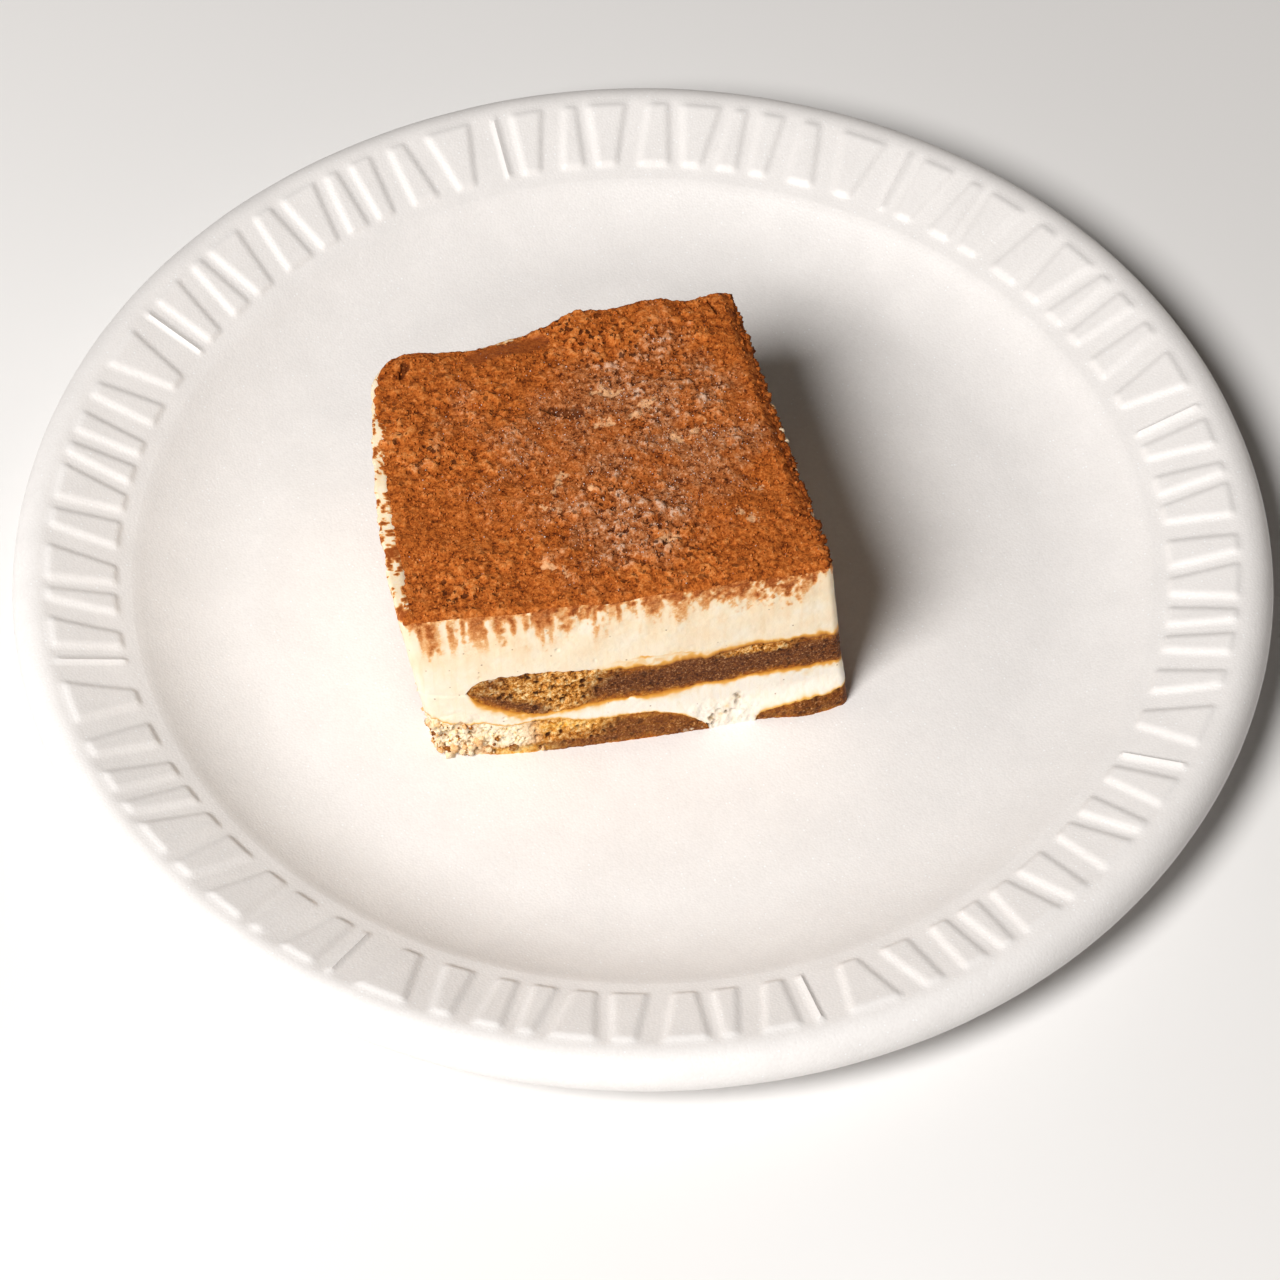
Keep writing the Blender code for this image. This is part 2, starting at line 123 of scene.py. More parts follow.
# Heights of the layer surfaces at the front cut, as (share of the width, height)
UPPER_FINGER_TOP = (
    (0.108, 0.0206), (0.144, 0.0224), (0.20, 0.0237), (0.29, 0.0240), (0.43, 0.0220), (0.57, 0.0214),
    (0.66, 0.0208), (0.71, 0.0213), (0.76, 0.0218), (0.82, 0.0221), (0.92, 0.0218), (1.0, 0.0208),
)
UPPER_FINGER_BOTTOM = (
    (0.108, 0.0190), (0.133, 0.0174), (0.175, 0.0154), (0.24, 0.0136), (0.31, 0.0131), (0.385, 0.0139),
    (0.445, 0.0142), (0.60, 0.0141), (0.80, 0.0146), (0.87, 0.0143), (1.0, 0.0141),
)
LEFT_FINGER_TOP = (
    (0.0, 0.0126), (0.10, 0.0119), (0.17, 0.0108), (0.26, 0.0109), (0.41, 0.0094), (0.53, 0.0092),
    (0.60, 0.0076), (0.656, 0.0043),
)
RIGHT_FINGER_TOP = ((0.768, 0.0045), (0.80, 0.0055), (0.86, 0.0061), (0.93, 0.0067), (1.0, 0.0073))
REAR_FINGER_EXTRA = 0.0014
CREAM_SEAM = 0.0198
COCOA_THICKNESS = 0.0011
COCOA_RELIEF = 0.0004
# Its face turns down by this much over this distance from the rim, dips no deeper than this, and stays this
# far under the solids' top
RIM_DROOP = 0.0005
RIM_DROOP_REACH = 0.0011
DEEPEST_DIP = 0.0016
UNDER_SOLIDS_TOP = 0.00002
# Loops below the rim: how far each lies outside it and below it
RIM_LOOPS = ((0.00010, 0.0003), (0.00012, 0.0006), (0.00008, 0.0009), (-0.0004, 0.0011))
BACK_SLUMP = 0.0016

# Band of cocoa along the front cut's upper edge, as (share of the width, depth)
SMEAR_BAND = (
    (0.0, 0.0016), (0.04, 0.0026), (0.10, 0.0012), (0.20, 0.0011), (0.30, 0.0016), (0.40, 0.0032),
    (0.47, 0.0018), (0.60, 0.0017), (0.70, 0.0032), (0.80, 0.0046), (0.92, 0.0042), (0.975, 0.0016),
    (1.0, 0.0004),
)
# Strokes of cocoa dragged down from it, as (share of the width, half width, length, strength)
SMEAR_STROKES = (
    (0.062, 0.0015, 0.0120, 0.66), (0.117, 0.0008, 0.0050, 0.40), (0.165, 0.0006, 0.0090, 0.22),
    (0.218, 0.0008, 0.0100, 0.58), (0.250, 0.0007, 0.0070, 0.72), (0.282, 0.0007, 0.0060, 0.50),
    (0.310, 0.0007, 0.0105, 0.72), (0.335, 0.0009, 0.0080, 0.72), (0.370, 0.0011, 0.0090, 0.62),
    (0.403, 0.0006, 0.0060, 0.45), (0.440, 0.0006, 0.0095, 0.34), (0.490, 0.0012, 0.0065, 0.40),
    (0.575, 0.0015, 0.0085, 0.55), (0.635, 0.0016, 0.0095, 0.62), (0.695, 0.0013, 0.0070, 0.60),
    (0.785, 0.0017, 0.0075, 0.70), (0.840, 0.0008, 0.0050, 0.50),
)
# Share of coffee in the fingers at the front cut, as (share of the width, share of coffee)
UPPER_COFFEE = (
    (0.108, 0.30), (0.145, 0.40), (0.195, 0.22), (0.28, 0.12), (0.38, 0.2), (0.435, 0.62), (0.50, 0.92),
    (1.0, 1.0),
)
LEFT_COFFEE = ((0.0, 0.0), (0.10, 0.05), (0.24, 0.05), (0.35, 0.18), (0.42, 0.8), (0.58, 0.9), (0.656, 0.5))
RIGHT_COFFEE = ((0.0, 0.95), (1.0, 0.95))
# Where the top of the upper fingers stayed dry, as place along the width, width of the patch and depth
DRY_BAND = (0.805, 0.10, 0.0026)
# Syrup that has run up into the cream above the fingers: from and to along the width, height above them
SYRUP_THREAD = (0.44, 0.68, 0.0012)
# Syrup that has soaked into the lower left fingers: place along the width and its width there, height, depth
SYRUP_PATCH = (0.32, 0.075, 0.0092, 0.0014)

# Flecks where pale cream shows through the cocoa: from and to, and half width, in metres on the portion's top
BALD_FLECKS = (
    ((-0.0154, -0.0053), (-0.0170, -0.0084), 0.0009), ((-0.0104, -0.0090), (-0.0076, -0.0103), 0.0007),
    ((-0.0187, -0.0120), (-0.0164, -0.0130), 0.0006), ((0.0056, 0.0005), (0.0096, 0.0024), 0.0011),
    ((-0.0070, 0.0055), (-0.0042, 0.0053), 0.0008), ((0.0000, 0.0070), (0.0032, 0.0096), 0.0008),
    ((-0.0073, 0.0127), (-0.0029, 0.0124), 0.0008), ((0.0145, -0.0173), (0.0163, -0.0195), 0.0008),
    ((0.0180, -0.0122), (0.0188, -0.0128), 0.0006), ((0.0007, -0.0223), (0.0039, -0.0216), 0.0009),
    ((-0.0200, -0.0248), (-0.0168, -0.0275), 0.0009),
)
# Frost: its middle on the portion's top, and how far it reaches along the width and the depth
FROST_MIDDLE = (-0.0020, -0.0010)
FROST_REACH = (0.0290, 0.0285)
# Slits in the cocoa: from the narrow end to the wide end, half width there and depth
GASH = ((-0.0166, 0.0105), (-0.0106, 0.0086), 0.0017, 0.0015)
HOLE = ((-0.0408, 0.0206), (-0.0396, 0.0236), 0.0012, 0.0007)
CRACK = ((0.0161, 0.0323), (0.0176, 0.0285), 0.0006, 0.0007)
DAMP_PATCH = ((-0.0270, 0.0245), (-0.0150, 0.0262), 0.0023)
# The smooth sifted powder at the left, and the crumbly clumps in front of it
CALM_PLACE = (-0.0360, -0.0150, 0.0085)
CLUMP_PLACES = ((-0.0290, -0.0245, 0.0110), (-0.0380, 0.0050, 0.0080), (-0.0050, -0.0240, 0.0080))

# Camera: the photograph's viewing angle, and the point on the table at the picture's middle
CAMERA_AZIMUTH = math.radians(-8.0)
CAMERA_ELEVATION = math.radians(52.27)
CAMERA_DISTANCE = 0.702
CAMERA_LENS = 107.3
PICTURE_MIDDLE = (-0.0024, -0.0133, 0.0)

# Distances of a layer's rings from its edge, on its upper face and its underside
FACE_RINGS = np.array(
    (0.00025, 0.0005, 0.0008, 0.0012, 0.0017, 0.0024, 0.0033, 0.0046, 0.0065, 0.0095, 0.014, 0.020)
)
# Relief on a layer's cut sides fades out this far in over its faces
RELIEF_FADE = 0.003
# Height of the thick cream, which tells how many of its upper rows lie on its rounded shoulder
THICK_CREAM_HEIGHT = 0.017
# The cream layers reach right across, with this many columns on the front, right, back and left
WHOLE_SPAN = (0.0, 1.0)
CREAM_COLUMNS = (330, 230, 250, 210)
COCOA_COLUMNS, COCOA_ROWS = 312, 276
# Points with a smaller share of the depth than this lie on the front cut
FRONT_DEPTH = 0.02
# Loose pieces: how many there are of each kind, and how far from the rim the grains and crystals lie
GRAIN_COUNT = 3600
CRYSTAL_COUNT = 1500
CLUMP_COUNT = 260
CREAM_BIT_COUNT = 70
CRUMB_COUNT = 110
GRAINS_FROM_RIM = 0.0006
# Loose pieces reach at most this many radii from their centres
LUMP_REACH = 1.75
# The table top reaches this far from the plate's middle along each axis
TABLE_REACH = 3.0

RANDOM_TABLE = np.random.default_rng(41).random(65536)
# Large odd numbers that mix a lattice corner's whole-number place, and the seed, into one key
MIXING_FACTORS = (73856093, 19349663, 83492791)
SEED_FACTOR = 50331653
LAST_FACTOR = 668265263


def linear(hex_colour):
    """An sRGB hex colour as linear RGBA."""
    shares = [int(hex_colour[i : i + 2], 16) / 255 for i in (1, 3, 5)]
    return (*((s / 12.92 if s <= 0.04045 else ((s + 0.055) / 1.055) ** 2.4) for s in shares), 1.0)


def lattice_random(corner, seed):
    """A fixed random number from 0 to 1 for each lattice corner: its whole-number place is mixed into a
    table place."""
    mixed = corner * MIXING_FACTORS
    key = mixed[..., 0] ^ mixed[..., 1] ^ mixed[..., 2] ^ (seed * SEED_FACTOR)
    key = (key ^ (key >> 15)) * LAST_FACTOR
    return RANDOM_TABLE[(key ^ (key >> 17)) & (len(RANDOM_TABLE) - 1)]


def smooth_noise(points, spacing, seed):
    """Noise from -1 to 1: a random number at each corner of a lattice of this spacing, and a point takes
    the eight round it, blended along each axis by the smooth step 3t^2 - 2t^3."""
    scaled = points / np.asarray(spacing)
    corner = np.floor(scaled).astype(np.int64)
    t = scaled - corner
    t = t * t * (3 - 2 * t)
    total = np.zeros(points.shape[:-1])
    for step in np.ndindex(2, 2, 2):
        weight = np.prod(np.where(np.array(step), t, 1 - t), axis=-1)
        total += weight * lattice_random(corner + np.array(step), seed)
    return 2 * total - 1


def layered_noise(points, spacing, layers, seed):
    """Noise with finer noise on it: each further layer has half the spacing and 0.6 of the height."""
    total, height, reach = 0.0, 1.0, 0.0
    for i in range(layers):
        total = total + height * smooth_noise(points, np.asarray(spacing) / 2**i, seed + i)
        reach += height
        height *= 0.6
    return total / reach


def wavy(points, reach, spacing, seed):
    """Points moved by smooth noise along each axis, so that what is drawn on them gets wavy edges."""
    moved = [reach * smooth_noise(points, spacing, seed + axis) for axis in range(3)]
    return points + np.stack(moved, axis=-1)


def nearest_cell(points, spacing, seed):
    """Distance to the nearest of points scattered one to a lattice cell, as a share of the spacing, and a
    random number of that cell's own."""
    scaled = points / np.asarray(spacing)
    corner = np.floor(scaled).astype(np.int64)
    nearest = np.full(points.shape[:-1], 9.0)
    own = np.zeros(points.shape[:-1])
    for step in np.ndindex(3, 3, 3):
        cell = corner + np.array(step) - 1
        spot = np.stack([lattice_random(cell, seed + axis) for axis in range(3)], axis=-1)
        distance = np.linalg.norm(cell + spot - scaled, axis=-1)
        closer = distance < nearest
        nearest = np.where(closer, distance, nearest)
        own = np.where(closer, lattice_random(cell, seed + 3), own)
    return nearest, own


def smooth_step(value, low, high):
    """0 below low, 1 above high and 3t^2 - 2t^3 between; a low above high turns it round."""
    t = np.clip((value - low) / (high - low), 0, 1)
    return t * t * (3 - 2 * t)


def bell(distance, width):
    """A smooth bump of height 1 that falls away over this width."""
    return np.exp(-((distance / width) ** 2))


def ripple(a, b, spacing, seed):
    """Smooth uneven relief between about -1 and 1: waves of about this spacing that cross in five
    directions."""
    draw = np.random.default_rng(seed)
    total = np.zeros_like(a)
    for turn in range(5):
        direction = math.pi * (turn + draw.random()) / 5
        wave = 2 * math.pi / (spacing * (0.7 + 0.6 * draw.random()))
        phase = 2 * math.pi * draw.random()
        total += np.sin(wave * (a * math.cos(direction) + b * math.sin(direction)) + phase)
    return total / 3


def curve_through(stations, at):
    """A smooth curve through (place, value) stations: cubic pieces whose slope at a station is its
    neighbours'."""
    places, values = np.array(stations).T
    slopes = np.gradient(values, places)
    at = np.clip(at, places[0], places[-1])
    left = np.clip(np.searchsorted(places, at, side="right") - 1, 0, len(places) - 2)
    span = places[left + 1] - places[left]
    s = (at - places[left]) / span
    rise = (2 * s**3 - 3 * s**2 + 1) * values[left] + (3 * s**2 - 2 * s**3) * values[left + 1]
    bend = (s**3 - 2 * s**2 + s) * slopes[left] + (s**3 - s**2) * slopes[left + 1]
    return rise + bend * span


def along_line(points, start, end):
    """Distance from each (x, y) point to the stretch from start to end, and how far along it as a share."""
    start, end = np.array(start), np.array(end)
    line = end - start
    share = np.clip(((points - start) @ line) / (line @ line), 0, 1)
    return np.linalg.norm(points - start - share[..., None] * line, axis=-1), share


def rounded_corners(u, v):
    """Shares of width and depth, moved so that the block's corners become arcs of the corner radii."""
    u_out, v_out = u.copy(), v.copy()
    sides = ((1, 1), (-1, 1), (-1, -1), (1, -1))
    for radius, (along, back) in zip(CORNER_RADII, sides):
        from_side = (u if along > 0 else 1 - u) * MIDDLE_WIDTH
        from_end = (v if back > 0 else 1 - v) * MIDDLE_DEPTH
        d = np.clip(1 - from_side / radius, 0, 1)
        e = np.clip(1 - from_end / radius, 0, 1)
        u_out += along * radius * d * (1 - np.sqrt(1 - e**2 / 2)) / MIDDLE_WIDTH
        v_out += back * radius * e * (1 - np.sqrt(1 - d**2 / 2)) / MIDDLE_DEPTH
    return u_out, v_out


def block_point(u, v, z):
    """Points of the leaning block: corners blended by the shares u, v and the height, with bowed sides."""
    u, v = rounded_corners(u, v)
    t = (z - PLATE_THICKNESS) / (TOP_Z - PLATE_THICKNESS)
    shares = ((1 - u) * (1 - v), u * (1 - v), u * v, (1 - u) * v)
    x = sum(s * (f[0] + (c[0] - f[0]) * t) for s, f, c in zip(shares, FOOT_CORNERS, TOP_CORNERS))
    y = sum(s * (f[1] + (c[1] - f[1]) * t) for s, f, c in zip(shares, FOOT_CORNERS, TOP_CORNERS))
    u_inside, v_inside = np.clip(u, 0, 1), np.clip(v, 0, 1)
    front_bow = FRONT_BOW_FOOT + (FRONT_BOW_TOP - FRONT_BOW_FOOT) * t
    y -= (1 - v) * front_bow * np.sin(math.pi * u_inside**0.62)
    spread = FOOT_SPREAD * smooth_step(u_inside, 0.3, 0.7)
    spread += FINGER_BULGE * bell(u_inside - BULGE_PLACE, BULGE_WIDTH)
    y -= (1 - v) * spread * smooth_step(z, SPREAD_TOP, SPREAD_BOTTOM)
    y -= v * BACK_WAVE * np.sin(2.3 * math.pi * u_inside) * (1 - u_inside**4)
    x -= (1 - u) * LEFT_BOW * np.sin(math.pi * v_inside)
    return np.stack([x, y, z], axis=-1)


def finger_row(v):
    """Share of full thickness across the rows of fingers: 1 along each finger's middle, 0 at the joints."""
    share = np.zeros_like(v)
    for start, end in zip(FINGER_JOINTS[:-1], FINGER_JOINTS[1:]):
        across = (v - start) / (end - start)
        inside = (across >= 0) & (across <= 1)
        rounded = np.sqrt(np.clip(1 - np.abs(2 * across - 1) ** 2.6, 0, 1))
        share = np.where(inside, rounded, share)
    return share


def edge_wander(u, v, height, seed):
    """Small waves of this height in the line where two layers meet."""
    places = np.stack([u * MIDDLE_WIDTH, v * MIDDLE_DEPTH, np.zeros_like(u)], axis=-1)
    coarse = layered_noise(places, 0.0048, 3, seed)
    return height * (coarse + 0.5 * layered_noise(places, 0.0012, 3, seed + 20))


def row_swell(v, height, nose):
    """How much each finger row's middle stands out, against the same place on the front cut."""
    return height * (finger_row(v) - finger_row(np.zeros_like(v))) * nose


def round_end(inward):
    """0 at a finger's end and 1 a little way in, along a quarter of an ellipse. Inward is the distance in from
    the end as a share of the width."""
    return np.sqrt(1 - (1 - np.clip(inward / END_NOSE, 0, 1)) ** 2)


def upper_sponge_top(u, v):
    """Upper face of the upper fingers: the front cut's line, crowned over each finger, closing at the
    tips."""
    nose = np.clip((u - UPPER_FINGER_TIP) / UPPER_CROWN_REACH, 0, 1)
    height = curve_through(UPPER_FINGER_TOP, u) + row_swell(v, FINGER_CROWN, nose)
    height = height + edge_wander(u, v, 0.0009, 3) * nose
    return CREAM_SEAM + (height - CREAM_SEAM) * round_end(u - UPPER_FINGER_TIP)


def upper_sponge_bottom(u, v):
    """Underside of the upper fingers: the front cut's line, keeled under each finger, closing at the tips."""
    nose = np.clip((u - UPPER_FINGER_TIP) / UPPER_CROWN_REACH, 0, 1)
    height = curve_through(UPPER_FINGER_BOTTOM, u) - row_swell(v, FINGER_KEEL, nose)
    height = height + edge_wander(u, v, 0.0005, 5) * nose
    return CREAM_SEAM + (height - CREAM_SEAM) * round_end(u - UPPER_FINGER_TIP)


def left_sponge_top(u, v):
    """Upper face of the lower fingers on the left, down to the plate at their ends."""
    tail = np.clip((LEFT_FINGER_END - u) / LEFT_CROWN_REACH, 0, 1)
    height = curve_through(LEFT_FINGER_TOP, u) + row_swell(v, FINGER_CROWN, tail)
    height = height + edge_wander(u, v, 0.0009, 7) * tail
    return FOOT_Z + (height - FOOT_Z) * round_end(LEFT_FINGER_END - u)


def right_sponge_top(u, v):
    """Upper face of the lower fingers on the right; the rows behind the front one are thicker."""
    nose = np.clip((u - RIGHT_FINGER_START) / RIGHT_CROWN_REACH, 0, 1)
    thicker = REAR_FINGER_EXTRA * np.clip(v / 0.4, 0, 1) * finger_row(v)
    height = curve_through(RIGHT_FINGER_TOP, u) + thicker * nose
    height = height + edge_wander(u, v, 0.0006, 9) * nose
    return FOOT_Z + (height - FOOT_Z) * round_end(u - RIGHT_FINGER_START)


def lower_cream_bottom(u, v):
    """Underside of the lower cream: on the lower fingers, and down on the plate between them."""
    height = np.where(u < LEFT_FINGER_END, left_sponge_top(u, v), FOOT_Z)
    return np.where(u > RIGHT_FINGER_START, right_sponge_top(u, v), height)


def lower_cream_top(u, v):
    """Upper face of the lower cream: under the upper fingers, and at the seam to the left of their tips."""
    return np.where(u > UPPER_FINGER_TIP, upper_sponge_bottom(u, v), CREAM_SEAM)


def upper_cream_bottom(u, v):
    """Underside of the thick cream: on the upper fingers, and at the seam to the left of their tips."""
    return np.where(u > UPPER_FINGER_TIP, upper_sponge_top(u, v), CREAM_SEAM)


def top_height(u, v):
    """Height of the cocoa's face before its grain: uneven, with a slump at the back left, and falling off
    along the right side."""
    slump = BACK_SLUMP * bell(u - 0.36, 0.13) * np.clip((v - 0.86) / 0.14, 0, 1) ** 2
    fall = 0.0013 * smooth_step((1 - u) * MIDDLE_WIDTH, 0.0026, 0.0002) * smooth_step(v, 0.05, 0.3)
    return TOP_Z + COCOA_RELIEF * ripple(u * MIDDLE_WIDTH, v * MIDDLE_DEPTH, 0.017, 11) - slump - fall


def from_edge(u, v):
    """Distance to the nearest side of the block."""
    across = np.minimum(u, 1 - u) * MIDDLE_WIDTH
    return np.minimum(across, np.minimum(v, 1 - v) * MIDDLE_DEPTH)


def upper_cream_top(u, v):
    """Upper face of the thick cream: under the cocoa, and raised where it shows along the left edge."""
    strip = smooth_step(u * MIDDLE_WIDTH, 0.0045, 0.002) * smooth_step(v, 0.8, 0.7)
    strip = strip * smooth_step(v * MIDDLE_DEPTH, 0.0004, 0.002)
    sunk = 0.0008 * smooth_step(from_edge(u, v), 0.0010, 0.0024) * (1 - strip)
    return top_height(u, v) - COCOA_THICKNESS + 0.0008 * strip - sunk


def foot(u, v):
    """Underside of the lower fingers, just in the plate's face so that no gap shows."""
    return np.full_like(u, FOOT_Z)


def broken_corner(points):
    """1 in the crumbled front left corner near the foot, falling to 0 about 10 mm away."""
    away = np.hypot(points[..., 0] - FOOT_CORNERS[0][0], points[..., 1] - FOOT_CORNERS[0][1])
    return bell(away, 0.0075) * smooth_step(points[..., 2], 0.0165, 0.009)


def crumb_relief(points):
    """Crumbs of about 1.9 and 0.9 mm standing proud, with gaps between."""
    places = wavy(points, 0.0005, 0.0011, 301)
    coarse, own = nearest_cell(places, 0.0019, 310)
    fine, own_fine = nearest_cell(places, 0.0009, 320)
    lumps = 0.0010 * (own - 0.5) - 0.0004 * smooth_step(coarse, 0.4, 1.0)
    return lumps + 0.0003 * (own_fine - 0.5) - 0.0002 * smooth_step(fine, 0.5, 0.9)


def cream_relief(points):
    """Relief of cut cream: slow waves, faint upright ridges left by the knife, fine grain, a few burst
    bubbles, and a ragged upper edge behind the front cut."""
    slow = 0.00025 * layered_noise(points, 0.009, 2, 51)
    ridges = 0.00007 * smooth_noise(points, (0.0013, 0.0013, 0.016), 53)
    ridges = ridges * smooth_step(points[..., 2], 0.026, 0.034)
    grain = 0.00006 * layered_noise(points, 0.0009, 2, 55)
    distance, own = nearest_cell(points, 0.0042, 60)
    radius = 0.06 + 0.07 * own
    bubbles = np.where(own > 0.6, 0.00025 * smooth_step(distance, radius, radius * 0.4), 0)
    ragged = 0.0007 * layered_noise(points, (0.0034, 0.0034, 0.0068), 3, 65)
    ragged = ragged * smooth_step(points[..., 2], 0.033, 0.039) * smooth_step(points[..., 1], -0.031, -0.027)
    return slow + ridges + grain - bubbles + ragged + broken_corner(points) * crumb_relief(points)


def crumb_pores(points, seed):
    """Share of depth of the pores in sponge crumb: rough round holes of 0.5 to 1.2 mm, some joined."""
    places = wavy(points, 0.0003, 0.0008, seed)
    large, own_large = nearest_cell(places, 0.0015, seed + 10)
    small, own_small = nearest_cell(places, 0.0007, seed + 20)
    deep = smooth_step(large, 0.30 + 0.3 * own_large, 0.14) * (own_large > 0.2)
    shallow = 0.55 * smooth_step(small, 0.5, 0.15) * (own_small > 0.3)
    return np.maximum(deep, shallow)


def outline(u_start, u_end, counts):
    """Shares (u, v) once round a layer, anticlockwise from its front left corner; counts are the columns on
    the front, right, back and left."""
    front, right, back, left = (np.arange(count) / count for count in counts)
    u = [u_start + (u_end - u_start) * front, np.full(counts[1], u_end)]
    u += [u_end + (u_start - u_end) * back, np.full(counts[3], u_start)]
    v = [np.zeros(counts[0]), right, np.ones(counts[2]), 1 - left]
    return np.concatenate(u), np.concatenate(v)


def closed_tube(loops, columns):
    """Faces of loops joined one to the next, with a pole before the first and after the last."""
    here = np.arange(columns)
    beside = (here + 1) % columns
    start = (1 + columns * np.arange(loops - 1))[:, None]
    corners = [start + here, start + beside, start + columns + beside, start + columns + here]
    quads = np.stack(corners, axis=-1)
    last = 1 + columns * (loops - 1)
    under = np.stack([np.zeros_like(here), 1 + beside, 1 + here], axis=-1)
    over = np.stack([np.full_like(here, last + columns), last + here, last + beside], axis=-1)
    return quads.reshape(-1, 4).tolist() + under.tolist() + over.tolist()


def make_piece(name, points, faces, material, marks, sharp_angle=None):
    """A mesh piece that rides on the part. Marks are numbers that the material reads at each point, and it
    reads 0 for a mark that the piece lacks."""
    mesh = bpy.data.meshes.new(name)
    mesh.from_pydata(points, [], faces)
    for mark, values in marks.items():
        mesh.attributes.new(mark, "FLOAT", "POINT").data.foreach_set("value", values.astype(np.float32))
    mesh.shade_smooth()
    if sharp_angle is not None:
        mesh.set_sharp_from_angle(angle=math.radians(sharp_angle))
    mesh.materials.append(material)
    piece = bpy.data.objects.new(name, mesh)
    bpy.context.scene.collection.objects.link(piece)
    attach(piece, "root")
    return piece


def outward_from(points, axis):
    """Level unit directions out of loops that run anticlockwise along this axis."""
    tangent = np.roll(points, -1, axis=axis) - np.roll(points, 1, axis=axis)
    outward = np.stack([tangent[..., 1], -tangent[..., 0], 0 * tangent[..., 0]], axis=-1)
    return outward / np.linalg.norm(outward, axis=-1, keepdims=True)


def layer_surface(span, counts, bottom, top, rows, relief, shoulder=0.0):
    """A layer's closed surface. Its loops are rings on the underside, rows up the cut sides and rings on
    the upper face; the upper edge may turn in along a quarter circle of the shoulder's radius. Relief
    pushes the sides out. Gives points, faces and, for each point, its shares (u, v) and its height as a
    share of the layer's."""
    u, v = outline(*span, counts)
    rise = np.linspace(0, 1, rows + 1)
    turn = np.clip(1 - (1 - rise) * THICK_CREAM_HEIGHT / max(shoulder, 1e-9), 0, 1)
    side_inset = shoulder * (1 - np.sqrt(1 - turn**2))
    width = (span[1] - span[0]) * MIDDLE_WIDTH
    rings = FACE_RINGS[FACE_RINGS < 0.48 * width - shoulder]
    inset = np.concatenate([rings[::-1], side_inset, rings + shoulder])[:, None]
    share = np.concatenate([rings * 0, rise, rings * 0 + 1])[:, None]
    middle = (span[0] + span[1]) / 2
    u = middle + (u - middle) * (1 - 2 * inset / width)
    v = 0.5 + (v - 0.5) * (1 - 2 * inset / MIDDLE_DEPTH)
    share = share + 0 * u
    z = bottom(u, v) + (top(u, v) - bottom(u, v)) * share
    points = block_point(u, v, z)
    pushed = relief(points, u, v, share) * np.clip(1 - inset / RELIEF_FADE, 0, 1)
    points += outward_from(points, 1) * pushed[..., None]
    flat = np.concatenate([points[:1].mean(axis=1), points.reshape(-1, 3), points[-1:].mean(axis=1)])
    faces = closed_tube(points.shape[0], points.shape[1])

    def at_points(values):
        return np.concatenate([[values[0, 0]], values.ravel(), [values[-1, 0]]])

    return flat, faces, at_points(u), at_points(v), at_points(share)


def front_share(v):
    """1 on the front cut and 0 elsewhere."""
    return smooth_step(v, 0.03, 0.005)


def smear(points, u, v):
    """Cocoa dragged down the cut sides by the knife: a band along the top edge, strokes that narrow and
    fade as they run down the front, and a faint upright stain. The other sides have only a short band."""
    below = np.clip(top_height(u, v) - points[..., 2], 0, None)
    front = v < FRONT_DEPTH
    mottle = layered_noise(points, (0.0011, 0.0011, 0.0018), 3, 73)
    sway = 0.0005 * smooth_noise(points, (0.004, 0.004, 0.003), 71)
    depth = np.where(front, np.interp(u, *np.array(SMEAR_BAND).T), 0.0014)
    flecked = layered_noise(points, (0.0009, 0.0009, 0.0011), 3, 79)
    band = smooth_step(below / depth + 1.3 * mottle, 2.0, 0.3) * np.clip(0.78 + 1.5 * flecked, 0.12, 1.2)
    strokes = 0.0
    for place, half_width, length, strength in SMEAR_STROKES:
        down = below / length * (1 + 0.5 * mottle)
        across = ((u - place) * MIDDLE_WIDTH + sway) / (half_width * np.clip(1.2 - 0.5 * down, 0.4, 1.2))
        strokes = np.maximum(strokes, strength * bell(across, 1.0) * smooth_step(down, 1.1, 0.45))
    strokes = strokes * np.clip(0.95 + 1.3 * flecked, 0.2, 1.3)
    upright = layered_noise(points, (0.0013, 0.0013, 0.010), 2, 72)
    patchy = layered_noise(points, (0.005, 0.005, 0.004), 2, 77)
    faint = np.clip(0.02 + 0.2 * upright + 0.12 * patchy + 0.1 * mottle, 0, 0.25)
    faint = faint * smooth_step(below, 0.018, 0.003)
    reach = 0.0135 - 0.004 * smooth_step(u, 0.42, 0.55)
    streaked = 0.75 * smooth_step(upright + 0.4 * flecked, -0.05, 0.5) * smooth_step(below, reach, 0.0005)
    on_front = np.maximum(np.maximum(band, strokes), np.maximum(faint, streaked))
    on_sides = band * np.where(u < 0.3, 0.08 + 0.9 * smooth_step(flecked + 0.6 * patchy, 0.16, 0.36), 0.85)
    return np.clip(np.where(front, on_front, on_sides), 0, 1)


def syrup_edge(distance, points, reach, seed):
    """Coffee syrup drawn into the cream beside a finger: 1 where they touch, uneven along the edge."""
    wander = 1 + 0.8 * layered_noise(points, 0.007, 2, seed)
    wander += 0.6 * layered_noise(points, 0.0012, 2, seed + 4)
    reach = reach * np.clip(wander, 0.12, 2.4)
    return np.exp(-((np.clip(distance, 0, None) / reach) ** 1.2))


